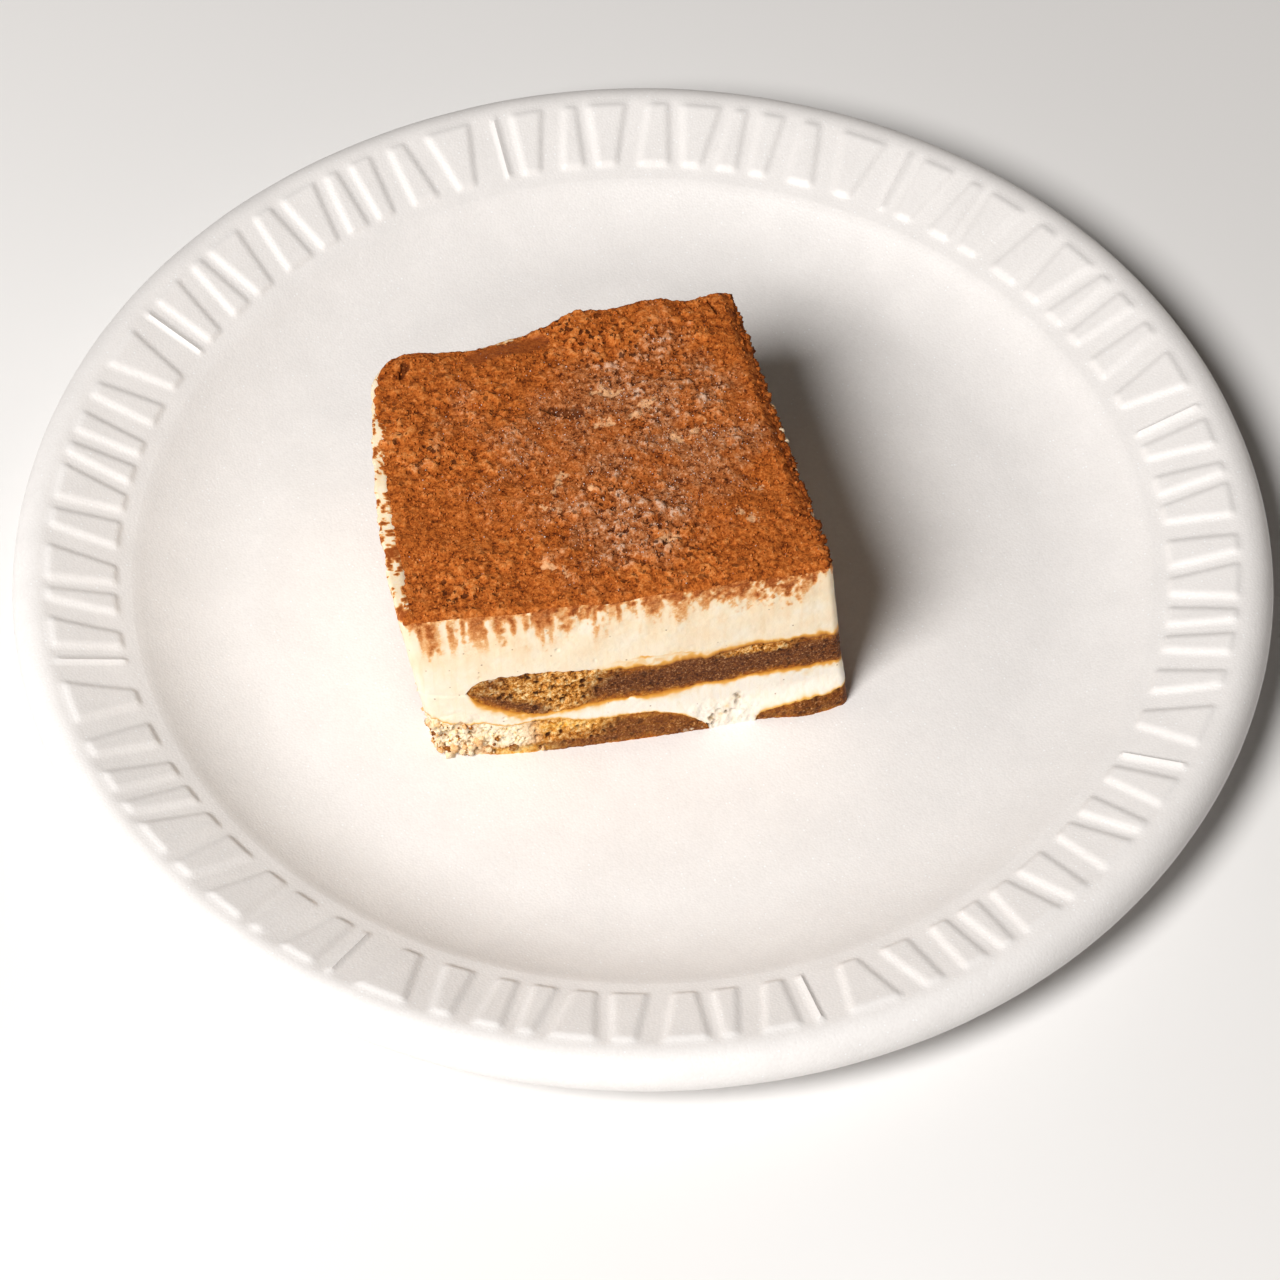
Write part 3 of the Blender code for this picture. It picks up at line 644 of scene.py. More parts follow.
def make_upper_cream(material):
    """The thick cream on the upper fingers: cocoa dragged over its cut sides, syrup drawn up from the
    fingers, and a thread of syrup that arches over pale yellow cream."""

    def relief(points, u, v, share):
        loose = smear(points, u, v) * 0.00035 * layered_noise(points, 0.0010, 2, 75)
        return cream_relief(points) + loose

    points, faces, u, v, _ = layer_surface(
        WHOLE_SPAN, CREAM_COLUMNS, upper_cream_bottom, upper_cream_top, 60, relief, shoulder=0.0004
    )
    above = points[:, 2] - upper_cream_bottom(u, v)
    over_finger = smooth_step(u, UPPER_FINGER_TIP - 0.01, UPPER_FINGER_TIP + 0.02)
    reach = 0.0007 + 0.0008 * smooth_step(u, 0.8, 1.0) + 0.0008 * bell(u - 0.6, 0.08)
    syrup = syrup_edge(above, points, reach, 81) * over_finger
    syrup = syrup * (1 - 0.9 * smooth_step(u, 0.48, 0.4) * front_share(v))
    start, end, height = SYRUP_THREAD
    along = smooth_step(u, start, start + 0.04) * smooth_step(u, end, end - 0.04) * front_share(v)
    wander = 0.0004 * smooth_noise(points, 0.006, 82)
    crest = height * (1 + 1.1 * np.sin(math.pi * np.clip((u - start) / (end - start), 0, 1))) + wander
    pool = 0.1 + 0.22 * smooth_step(layered_noise(points, 0.0012, 3, 87), -0.25, 0.3)
    pool = pool * smooth_step(above, crest, 0.8 * crest)
    thread = (0.42 + 0.3 * smooth_noise(points, 0.0022, 88)) * bell(above - crest, 0.0003)
    syrup = np.maximum(syrup, along * np.maximum(thread, pool))
    marks = {
        "smear": smear(points, u, v),
        "syrup": syrup,
        "crumbled": broken_corner(points),
        "fresh": smooth_step(points[:, 2], 0.034, 0.018) * 0.35,
    }
    piece = make_piece("upper_cream_cut", points, faces, material, marks, 60)
    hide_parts("upper_cream")


def curds(points, u, v):
    """1 where the cream between the lower fingers is broken into curds, low on the front cut."""
    between = smooth_step(u, LEFT_FINGER_END - 0.09, LEFT_FINGER_END - 0.02)
    between = between * smooth_step(u, RIGHT_FINGER_START + 0.04, RIGHT_FINGER_START - 0.01)
    return between * front_share(v) * smooth_step(points[..., 2], 0.0105, 0.0075)


def torn_band(points, u, v):
    """1 along the slanting line where the left fingers tore, from their ends up into the cream."""
    line = TORN_LINE[0] + TORN_LINE[1] * (u - LEFT_FINGER_END)
    along = smooth_step(u, TORN_FROM - 0.03, TORN_FROM) * smooth_step(u, TORN_TO + 0.02, TORN_TO - 0.01)
    return along * bell(points[..., 2] - line, TORN_WIDTH) * front_share(v)


def curd_pores(points, u, v):
    """Open pores of about 1 mm along the torn line, with wavy edges."""
    places = wavy(points, 0.0003, 0.0007, 340)
    distance, own = nearest_cell(places, (0.0014, 0.0014, 0.0010), 345)
    open_share = smooth_step(distance, 0.4 + 0.25 * own, 0.2) * (own > 0.2)
    return open_share * smooth_step(torn_band(points, u, v), 0.25, 0.7)


def make_lower_cream(material):
    """The cream between the finger layers: syrup at both, and curds and torn pores where it reaches the
    plate."""

    def relief(points, u, v, share):
        lumpy = 0.0005 * layered_noise(points, 0.0014, 3, 341)
        below = lower_cream_top(u, v) - points[..., 2]
        torn = curds(points, u, v) * lumpy - 0.0005 * curd_pores(points, u, v)
        return cream_relief(points) + torn - 0.00018 * bell(below, 0.0004) * front_share(v)

    points, faces, u, v, _ = layer_surface(
        WHOLE_SPAN, CREAM_COLUMNS, lower_cream_bottom, lower_cream_top, 34, relief
    )
    below = lower_cream_top(u, v) - points[:, 2]
    above = points[:, 2] - lower_cream_bottom(u, v)
    under_finger = smooth_step(u, UPPER_FINGER_TIP - 0.005, UPPER_FINGER_TIP + 0.02)
    on_finger = np.maximum(smooth_step(u, LEFT_FINGER_END, LEFT_FINGER_END - 0.05), u > RIGHT_FINGER_START)
    reach = 0.0008 + 0.0005 * smooth_step(u, 0.6, 1.0) + 0.0014 * bell(u - 0.17, 0.09)
    syrup = 0.9 * syrup_edge(below, points, reach, 83) * under_finger
    syrup = np.maximum(syrup, 0.6 * syrup_edge(above, points, 0.0005, 85) * on_finger)
    flecks = smooth_step(layered_noise(points, 0.0010, 2, 349), 0.0, 0.5)
    syrup = np.maximum(syrup, 0.3 * torn_band(points, u, v) * (0.4 + 0.6 * flecks))
    marks = {
        "syrup": syrup,
        "crumbled": np.maximum(broken_corner(points), 0.35 * curds(points, u, v)),
        "fresh": 1 - 0.65 * smooth_step(u, 0.25, 0.05),
        # Painted shade inside the torn pores
        "pore": curd_pores(points, u, v),
    }
    piece = make_piece("lower_cream_cut", points, faces, material, marks, 60)
    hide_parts("lower_cream")


def sponge_marks(points, u, v, share, bottom, top, coffee_stations, seed):
    """How much coffee, orange skin and thin yellow syrup each point holds. The front cut follows its
    stations, and a band along the upper fingers' top stayed dry; syrup lies along the skin, in one patch
    and at one foot."""
    front = front_share(v)
    lower = bottom is foot
    thickness = np.maximum(top(u, v) - bottom(u, v), 0.0001)
    below_top = (1 - share) * thickness
    to_skin = np.minimum(share * thickness, below_top)
    wander = layered_noise(points, 0.006, 3, seed)
    inside = 0.78 + 0.5 * layered_noise(points, 0.011, 2, seed + 5)
    slanted = u - 0.04 * (2 * share - 1)
    coffee = np.where(v < FRONT_DEPTH, curve_through(coffee_stations, slanted), inside) + 0.35 * wander
    patchy = np.clip(0.62 + 1.5 * layered_noise(points, 0.007, 2, seed + 8), 0.12, 1)
    fine = layered_noise(points, 0.0012, 2, seed + 9)
    skin_depth = 0.0008 * np.clip(1 + 0.8 * wander + 0.8 * fine, 0.2, 2.2)
    skin = patchy * np.exp(-((to_skin / skin_depth) ** 1.5))
    if lower:
        coffee = coffee + 0.8 * smooth_step(share, 0.4, 0.15) * smooth_step(u, 0.09, 0.2) * front
        skin = skin + 0.22 * (1 + wander)
    else:
        place, width, depth = DRY_BAND
        dry = bell(u - place, width) * smooth_step(below_top, depth * (1.3 + wander), depth * 0.5)
        soaked = 0.7 * smooth_step(share, 0.42, 0.12) * smooth_step(u, 0.33, 0.25)
        coffee = coffee + (soaked - 1.2 * dry) * front
        skin = skin * (1 - 0.55 * smooth_step(share, 0.5, 0.7) * smooth_step(u, 0.48, 0.4) * front)
    place, width, height, depth = SYRUP_PATCH
    patch = bell(u - place, width) * bell(points[..., 2] - height - 0.0008 * wander, depth)
    wet_foot = bell(u - 0.2, 0.06) * smooth_step(share, 0.34, 0.1)
    wet = np.clip(np.maximum(patch, wet_foot) * (0.95 + 0.6 * fine), 0, 1) * front * lower
    return np.clip(coffee, 0, 1), np.clip(skin, 0, 1), wet


def make_sponge(node, span, counts, bottom, top, rows, coffee_stations, seed, material):
    """One layer of soaked fingers over this span of the width: open pores where little coffee has gone in,
    close and smooth where much has, and cream worked into the crumb in places."""

    def relief(points, u, v, share):
        coffee, skin, _ = sponge_marks(points, u, v, share, bottom, top, coffee_stations, seed)
        pores = crumb_pores(points, seed) * (1 - 0.5 * skin)
        grain = 0.00014 * layered_noise(points, 0.0008, 3, seed + 40)
        crumbs = broken_corner(points) * crumb_relief(points)
        return grain - 0.0001 - 0.0007 * pores * (1 - 0.75 * coffee) + crumbs

    points, faces, u, v, share = layer_surface(span, counts, bottom, top, rows, relief)
    coffee, skin, wet = sponge_marks(points, u, v, share, bottom, top, coffee_stations, seed)
    speckled = smooth_step(layered_noise(points, 0.0012, 2, seed + 60), -0.1, 0.5)
    if bottom is foot:
        creamy = 0.85 * bell(u - 0.165, 0.075) * smooth_step(share, 0.15, 0.4)
        creamy = np.maximum(creamy, 0.55 * speckled * smooth_step(u, 0.54, 0.65) * (u < 0.7))
    else:
        creamy = 0.38 * bell(u - 0.165, 0.03) * speckled * smooth_step(share, 0.3, 0.6)
    crumbled = np.maximum(broken_corner(points), creamy * front_share(v))
    # Open pores get painted shade in the material; skin, coffee, cream and syrup close them
    still_open = (1 - 0.5 * skin) * (1 - 0.45 * coffee) * (1 - np.maximum(0.95 * crumbled, 0.75 * wet))
    pore = crumb_pores(points, seed) * still_open
    marks = {"coffee": coffee, "skin": skin, "pore": pore, "crumbled": crumbled, "wet": wet}
    piece = make_piece(node + "_cut", points, faces, material, marks, 70)
    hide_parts(node)


def mark_depth(points, mark):
    """Depth of a slit in the cocoa: a wedge that widens from start to end, deepest along its middle."""
    start, end, half_width, depth = mark
    ragged = 1 + 0.5 * layered_noise(points, 0.0012, 2, 91)
    distance, share = along_line(points[..., :2], start, end)
    reach = half_width * (0.2 + 0.8 * share)
    return depth * smooth_step(distance, reach * ragged, reach * 0.4)


def cocoa_marks(points):
    """Shares from 0 to 1 at points on the cocoa: frost, bald flecks and the damp patch."""
    wander = layered_noise(points, 0.008, 3, 101)
    fine = layered_noise(points, 0.0013, 3, 105)
    across = (points[..., 0] - FROST_MIDDLE[0]) / FROST_REACH[0]
    back = (points[..., 1] - FROST_MIDDLE[1]) / FROST_REACH[1]
    patchy = smooth_step(layered_noise(points, 0.0042, 3, 107), -0.25, 0.2)
    frost = smooth_step(np.hypot(across, back) * (1 + 0.45 * wander), 1.15, 0.35) * (0.3 + 0.7 * patchy)
    bald = np.zeros(points.shape[:-1])
    for start, end, half_width in BALD_FLECKS:
        distance, _ = along_line(points[..., :2], start, end)
        ragged = distance / half_width * (1 + 0.5 * fine) + 1.7 * fine
        bald = np.maximum(bald, smooth_step(ragged, 1.35, 0.0))
    start, end, half_width = DAMP_PATCH
    distance, _ = along_line(points[..., :2], start, end)
    damp = smooth_step(distance * (1 + 0.4 * wander), half_width, half_width * 0.5)
    return frost, bald, damp


def cocoa_grain(points, damp):
    """Height of the powder, how proud each point stands, depth of its pits and how crumbly it is: slow
    swells of 5 mm, clumps of 2 mm in crumbly places, lumps of 1 mm all over, and short gaps between
    them. The material paints proud points lighter and pits darker, as painted light and shade."""
    places = wavy(points, 0.00025, 0.0009, 130)
    swells = 0.00047 * layered_noise(points, 0.0055, 3, 111)
    crumbly = 0.6 + 0.9 * layered_noise(points, 0.012, 2, 113)
    for x, y, reach in CLUMP_PLACES:
        crumbly = crumbly + 0.45 * bell(np.hypot(points[..., 0] - x, points[..., 1] - y), reach)
    away = np.hypot(points[..., 0] - CALM_PLACE[0], points[..., 1] - CALM_PLACE[1])
    crumbly = np.clip(crumbly, 0.35, 1.15) * (1 - 0.7 * bell(away, CALM_PLACE[2])) * (1 - 0.85 * damp)
    distance, own = nearest_cell(places, 0.0023, 120)
    clumps = 0.00065 * smooth_step(distance, 0.66, 0.25) * (own > 0.4) * own * crumbly
    distance, own = nearest_cell(places, 0.00125, 125)
    lumps = 0.00055 * smooth_step(distance, 0.8, 0.25) * (0.2 + 0.8 * own) * (0.3 + 0.7 * crumbly)
    distance, own = nearest_cell(places, 0.0015, 150)
    gaps = smooth_step(distance, 0.16 + 0.2 * own, 0.0) * (own > 0.2) * np.clip(0.25 + crumbly, 0, 1)
    pits = 0.7 * gaps * (1 - 0.8 * damp)
    relief = (clumps + lumps) * (1 - 0.8 * damp)
    # proud only colours the cocoa: painted light on raised points and painted shade on low ones
    proud = np.clip(0.1 + relief / 0.0008 - 0.3 * pits, 0, 1)
    return swells * (1 - 0.7 * damp) + relief - 0.00058, proud, pits, crumbly


def cocoa_edges(u, v):
    """How far the cocoa stops short of each side: a ragged line, furthest in along the left side near the
    front."""
    places = np.stack([u * MIDDLE_WIDTH, v * MIDDLE_DEPTH, np.zeros_like(u)], axis=-1)
    ragged = 0.0009 * layered_noise(places, 0.0028, 4, 161)
    left = 0.0009 + 0.0017 * bell(v - 0.24, 0.13) + ragged
    right = 0.0003 + 0.9 * ragged
    front = 0.0001 + 0.2 * ragged
    back = 0.0002 + 0.0007 * bell(u - 0.36, 0.12) + 0.6 * ragged
    return left, right, front, back


def make_cocoa(material):
    """The cocoa: a fine grid over the top, a thin rim that turns down into the cream, and a flat
    underside."""
    u, v = np.meshgrid(np.linspace(0, 1, COCOA_COLUMNS + 1), np.linspace(0, 1, COCOA_ROWS + 1))
    left, right, front, back = cocoa_edges(u, v)
    u_new = u + (1 - u) * left / MIDDLE_WIDTH - u * right / MIDDLE_WIDTH
    v_new = v + (1 - v) * front / MIDDLE_DEPTH - v * back / MIDDLE_DEPTH
    z = top_height(u_new, v_new)
    points = block_point(u_new, v_new, z)
    flat_places = points * (1, 1, 0)
    frost, bald, damp = cocoa_marks(flat_places)
    height, proud, pits, crumbly = cocoa_grain(flat_places, damp)
    slits = sum(mark_depth(flat_places, mark) for mark in (GASH, HOLE, CRACK))
    to_rim = np.minimum(np.minimum(u, 1 - u) * MIDDLE_WIDTH, np.minimum(v, 1 - v) * MIDDLE_DEPTH)
    droop = RIM_DROOP * (1 - np.sqrt(1 - np.clip(1 - to_rim / RIM_DROOP_REACH, 0, 1) ** 2))
    points[..., 2] += np.maximum(height - 0.0004 * pits - slits - 0.0001 * bald, -DEEPEST_DIP) - droop
    points[..., 2] = np.minimum(points[..., 2], cad_high.z - UNDER_SOLIDS_TOP)

    grid = np.arange(points.shape[0] * points.shape[1]).reshape(points.shape[:2])
    quads = np.stack([grid[:-1, :-1], grid[:-1, 1:], grid[1:, 1:], grid[1:, :-1]], axis=-1).reshape(-1, 4)
    rim = np.concatenate([grid[0, :-1], grid[:-1, -1], grid[-1, :0:-1], grid[:0:-1, 0]])
    rim_points = points.reshape(-1, 3)[rim]
    outward = outward_from(rim_points, 0)
    uneven = 1 + 0.7 * layered_noise(rim_points, 0.0016, 3, 165)[:, None]
    loops = [rim_points + outward * out - np.array((0, 0, down)) * uneven for out, down in RIM_LOOPS]
    centre = rim_points.mean(axis=0) - (0, 0, 0.0013)
    loops += [centre + (loops[-1] - centre) * share for share in (0.88, 0.6, 0.3)]
    first = points.shape[0] * points.shape[1]
    numbers = [rim] + [first + i * len(rim) + np.arange(len(rim)) for i in range(len(loops))]
    pairs = zip(numbers[:-1], numbers[1:])
    sides = [np.stack([a, b, np.roll(b, -1), np.roll(a, -1)], axis=-1) for a, b in pairs]
    pole = np.full(len(rim), first + len(loops) * len(rim))
    last = np.stack([np.roll(numbers[-1], -1), numbers[-1], pole], axis=-1)
    faces = quads.tolist() + np.concatenate(sides).tolist() + last.tolist()
    flat = np.concatenate([points.reshape(-1, 3), *loops, centre[None]])

    def at_points(values):
        return np.concatenate([values.ravel()] + [values.ravel()[rim]] * len(loops) + [[0.0]])

    marks = {
        "frost": at_points(frost),
        "bald": at_points(bald),
        "damp": at_points(damp),
        # Painted shade in the pits between clumps and in the slits, which are also sunk into the face
        "pit_and_painted_shade": at_points(np.clip(pits + slits / 0.0006, 0, 1)),
        "proud": at_points(proud),
        "crumbly": at_points(crumbly),
    }
    piece = make_piece("cocoa_top", flat, faces, material, marks)
    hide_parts("cocoa_dusting")
    return points, to_rim


def ball(columns, rings):
    """Directions and faces of a small closed ball: rings of columns between two poles."""
    tilt = np.pi * (np.arange(rings) + 1) / (rings + 1)
    turn = 2 * np.pi * np.arange(columns) / columns
    tilt, turn = np.meshgrid(tilt[::-1], turn, indexing="ij")
    grid = np.stack([np.sin(tilt) * np.cos(turn), np.sin(tilt) * np.sin(turn), np.cos(tilt)], axis=-1)
    directions = np.concatenate([[[0, 0, -1]], grid.reshape(-1, 3), [[0, 0, 1]]])
    return directions, closed_tube(rings, columns)


def make_lumps(name, centres, radii, material, slot, marks, seed, columns=8, rings=6, rough=0.3):
    """Many small uneven balls joined in one mesh: each ball's points lie in their own direction from its
    centre, at its radius, changed by up to the share rough. None rises above the solids."""
    draw = np.random.default_rng(seed)
    centres[:, 2] = np.minimum(centres[:, 2], cad_high.z - LUMP_REACH * radii)
    directions, faces = ball(columns, rings)
    uneven = 1 + rough * (2 * draw.random((len(centres), len(directions), 1)) - 1)
    stretch = 1 + 0.3 * (2 * draw.random((len(centres), 1, 3)) - 1)
    points = centres[:, None] + radii[:, None, None] * directions * uneven * stretch
    count = len(directions)
    joined = [[corner + i * count for corner in face] for i in range(len(centres)) for face in faces]
    spread = {mark: np.repeat(values, count) for mark, values in marks.items()}
    return make_piece(name, points.reshape(-1, 3), joined, material, spread)


def make_cocoa_grains(top_points, to_rim, material):
    """Loose grains and small clumps of cocoa lying on the top."""
    draw = np.random.default_rng(201)
    spots = top_points.reshape(-1, 3)[(to_rim > GRAINS_FROM_RIM).ravel()]
    chosen = spots[draw.choice(len(spots), GRAIN_COUNT, replace=False)]
    radii = 0.00011 + 0.0002 * draw.random(len(chosen)) ** 2.5
    centres = chosen + np.array([0, 0, 1]) * (0.35 * radii[:, None])
    frost, _, damp = cocoa_marks(centres * (1, 1, 0))
    keep = damp < 0.4
    centres, radii = centres[keep], radii[keep]
    # proud paints the loose grains lighter at random, as painted light on raised bits
    marks = {"frost": frost[keep], "proud": 0.3 + 0.5 * draw.random(len(centres))}
    make_lumps("cocoa_grains", centres, radii, material, "cocoa", marks, 202, 5, 3, rough=0.25)


def make_frost_crystals(top_points, to_rim, material):
    """Tiny crystals of frost, thickest where the cocoa is frosted."""
    draw = np.random.default_rng(211)
    spots = top_points.reshape(-1, 3)[(to_rim > GRAINS_FROM_RIM).ravel()]
    frost, _, _ = cocoa_marks(spots * (1, 1, 0))
    clumps = smooth_step(layered_noise(spots, 0.004, 3, 213), -0.2, 0.5)
    weight = (0.03 + frost) * (0.35 + clumps)
    weight = weight / weight.sum()
    chosen = spots[draw.choice(len(spots), CRYSTAL_COUNT, replace=False, p=weight)]
    radii = 0.00005 + 0.00013 * draw.random(len(chosen)) ** 2.5
    centres = chosen + np.array([0, 0, 1]) * (0.5 * radii[:, None])
    make_lumps("frost_crystals", centres, radii, material, "cocoa", {}, 214, 4, 1)


def make_edge_clumps(cocoa, cream):
    """Clumps of cocoa along the right edge and the back right corner, and torn bits of cream below the
    right edge."""
    draw = np.random.default_rng(241)
    along = draw.random(CLUMP_COUNT)
    u = 1 - 0.011 * draw.random(CLUMP_COUNT) ** 1.5
    radii = 0.00025 + 0.0005 * draw.random(CLUMP_COUNT) ** 2.5
    z = top_height(u, along) - 0.0004 - 0.0007 * draw.random(CLUMP_COUNT) - 0.3 * radii
    centres = block_point(u, along, z)
    # Painted shade on the clumps along the right edge, which faces away from the light: a high pit mark and a
    # low proud mark darken them
    marks = {
        "pit_and_painted_shade": 0.3 + 0.6 * draw.random(CLUMP_COUNT),
        "proud": 0.5 * draw.random(CLUMP_COUNT),
        "crumbly": np.ones(CLUMP_COUNT),
    }
    make_lumps("cocoa_edge_clumps", centres, radii, cocoa, "cocoa", marks, 242)
    half = CREAM_BIT_COUNT // 2
    v = np.concatenate([0.42 + 0.2 * draw.random(half), 0.05 + 0.3 * draw.random(CREAM_BIT_COUNT - half)])
    z = 0.034 + 0.0035 * draw.random(CREAM_BIT_COUNT)
    centres = block_point(np.ones(CREAM_BIT_COUNT), v, z)
    radii = 0.0002 + 0.0005 * draw.random(CREAM_BIT_COUNT) ** 2
    marks = {"smear": 0.4 * draw.random(CREAM_BIT_COUNT)}
    make_lumps("torn_cream_bits", centres, radii, cream, "cream", marks, 243, rough=0.35)


def plate_profile():
    """The plate's closed half section as arrays of radius and height, from the floor round the lip to the
    underside."""

    def arc(centre, radius, start, end, count):
        angle = np.radians(np.linspace(start, end, count))
        return centre[0] + radius * np.cos(angle), centre[1] + radius * np.sin(angle)

    wall_centre = (FLOOR_RADIUS, PLATE_THICKNESS + WALL_ARC_RADIUS)
    wall_end = -90 + math.degrees(math.asin((RIM_START - FLOOR_RADIUS) / WALL_ARC_RADIUS))
    wall = arc(wall_centre, WALL_ARC_RADIUS, -90, wall_end, 13)
    rim_radius = np.linspace(RIM_START, LIP_START, 36)[1:-1]
    rim_height = wall[1][-1] + (rim_radius - RIM_START) * math.tan(RIM_SLOPE)
    lip_z = wall[1][-1] + (LIP_START - RIM_START) * math.tan(RIM_SLOPE)
    lip_radius = (PLATE_RADIUS - LIP_START) / (1 + math.sin(RIM_SLOPE))
    lip_centre = (
        LIP_START + lip_radius * math.sin(RIM_SLOPE),
        lip_z - lip_radius * math.cos(RIM_SLOPE),
    )
    lip_angle = 90 + math.degrees(RIM_SLOPE)
    lip_outside = arc(lip_centre, lip_radius, lip_angle, -20, 12)
    lip_inside = arc(lip_centre, lip_radius - LIP_THICKNESS, -20, lip_angle, 7)
    wall_under = arc(wall_centre, WALL_ARC_RADIUS + PLATE_THICKNESS, wall_end, -90, 8)
    floor = (np.array([0.02, 0.045, 0.062]), np.full(3, PLATE_THICKNESS))
    underside = (np.array([0.05, 0.02]), np.zeros(2))
    parts = (floor, wall, (rim_radius, rim_height), lip_outside, lip_inside, wall_under, underside)
    return np.concatenate([p[0] for p in parts]), np.concatenate([p[1] for p in parts])


def panel_height(radius, degrees):
    """Height of the raised panels: each is a wedge with soft edges, and the run of ten repeats round the rim,
    counted from 5 degrees before its first panel."""
    turned = (degrees - PANEL_RUN_START + 5) % PANEL_RUN - 5
    outward = (radius - PANEL_INNER) / (PANEL_OUTER - PANEL_INNER)
    half = PANEL_SOFTNESS / 2

    def inside(distance):
        return smooth_step(distance, -half, half)

    height = np.zeros(np.broadcast(radius, degrees).shape)
    for outer_left, outer_right, inner_left, inner_right in PANEL_EDGES:
        left = np.radians(turned - inner_left - (outer_left - inner_left) * outward) * radius
        right = np.radians(inner_right + (outer_right - inner_right) * outward - turned) * radius
        height = np.maximum(height, inside(left) * inside(right))
    return PANEL_HEIGHT * height * inside(radius - PANEL_INNER) * inside(PANEL_OUTER - radius)


def make_plate(material):
    """The foam plate: its half section turned, with the panels raised on the upper face and a slightly
    uneven form."""
    radius, height = plate_profile()
    upper = np.arange(len(radius)) < np.argmax(radius)
    degrees = 360 * np.arange(PLATE_COLUMNS) / PLATE_COLUMNS
    angle = np.radians(degrees)
    radius, height, upper = radius[:, None], height[:, None], upper[:, None]
    raised = panel_height(radius, degrees[None]) * upper
    wave = 0.5 + 0.25 * np.sin(3 * angle + 1.1) + 0.25 * np.sin(7 * angle + 0.4)
    outer = smooth_step(radius, 0.085, 0.112)
    radius = radius - PLATE_UNEVEN * wave * outer - raised * math.sin(RIM_SLOPE)
    x, y = radius * np.cos(angle), radius * np.sin(angle)
    places = np.stack([x, y, height + 0 * x], axis=-1)
    dents = 0.00012 * layered_noise(places, 0.011, 2, 221) * smooth_step(radius, 0.073, 0.085)
    z = height + raised * math.cos(RIM_SLOPE) + dents * (height > 0.001)
    points = np.stack([x, y, np.clip(z, 0, None)], axis=-1)[::-1]
    flat = np.concatenate([[[0, 0, 0]], points.reshape(-1, 3), [[0, 0, PLATE_THICKNESS]]])
    piece = make_piece("plate_shell", flat, closed_tube(len(points), PLATE_COLUMNS), material, {}, 50)
    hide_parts("foam_plate")


def make_corner_crumbs(cream, sponge):
    """Crumbs and bits of cream clinging to the broken corner and lying at its foot."""
    draw = np.random.default_rng(231)
    u = np.abs(0.085 * draw.standard_normal(CRUMB_COUNT))
    along_left = draw.random(CRUMB_COUNT) < 0.25
    z = 0.0032 + 0.008 * draw.random(CRUMB_COUNT) ** 1.4
    at_side = np.zeros(CRUMB_COUNT)
    front_places = block_point(u, at_side, z)
    left_places = block_point(at_side, u, z)
    centres = np.where(along_left[:, None], left_places, front_places)
    radii = 0.00022 + 0.0006 * draw.random(CRUMB_COUNT) ** 2.5
    centres[:, 2] = np.maximum(centres[:, 2], PLATE_THICKNESS + 0.7 * radii)
    is_cream = draw.random(CRUMB_COUNT) < 0.72
    cream_marks = {
        "smear": 0.3 * draw.random(CRUMB_COUNT)[is_cream],
        "syrup": 0.3 * draw.random(CRUMB_COUNT)[is_cream],
        "crumbled": np.ones(np.count_nonzero(is_cream)),
    }
    placed = (centres[is_cream], radii[is_cream])
    make_lumps("cream_crumbs", *placed, cream, "cream", cream_marks, 232, rough=0.42)
    dark = ~is_cream
    bit_marks = {
        "coffee": 0.1 + 0.8 * draw.random(CRUMB_COUNT)[dark],
        "skin": draw.random(CRUMB_COUNT)[dark],
        # Painted pore shade on the sponge crumbs
        "pore": 0.3 * draw.random(CRUMB_COUNT)[dark],
    }
    placed = (centres[dark], 0.8 * radii[dark])
    make_lumps("sponge_crumbs", *placed, sponge, "sponge", bit_marks, 233, rings=5, rough=0.4)


def fill_inputs(node, inputs):
    """Fills a node's inputs: an output is linked, and anything else is a value."""
    for key, value in inputs.items():
        if isinstance(value, bpy.types.NodeSocket):
            node.id_data.links.new(value, node.inputs[key])
        else:
            node.inputs[key].default_value = value


def add_node(material, kind, inputs, output=0, stops=(), **settings):
    """Adds one shader node with its settings and links, and gives one of its outputs. Stops are a colour
    ramp's (place, hex colour) pairs."""
    node = material.node_tree.nodes.new("ShaderNode" + kind)
    for name, value in settings.items():
        setattr(node, name, value)
    fill_inputs(node, inputs)
    if stops:
        elements = node.color_ramp.elements
        while len(elements) < len(stops):
            elements.new(1.0)
        for element, (place, colour) in zip(elements, stops):
            element.position = place
            element.color = linear(colour)
    return node.outputs[output]


def new_finish(name, *mark_names):
    """A material, its Principled shader, the object's own coordinates and the marks that its pieces carry."""
    material = bpy.data.materials.new(name)
    material.use_nodes = True
    shader = material.node_tree.nodes["Principled BSDF"]
    places = add_node(material, "TexCoord", {}, "Object")
    marks = [add_node(material, "Attribute", {}, "Fac", attribute_name=mark) for mark in mark_names]
    return material, shader, places, *marks


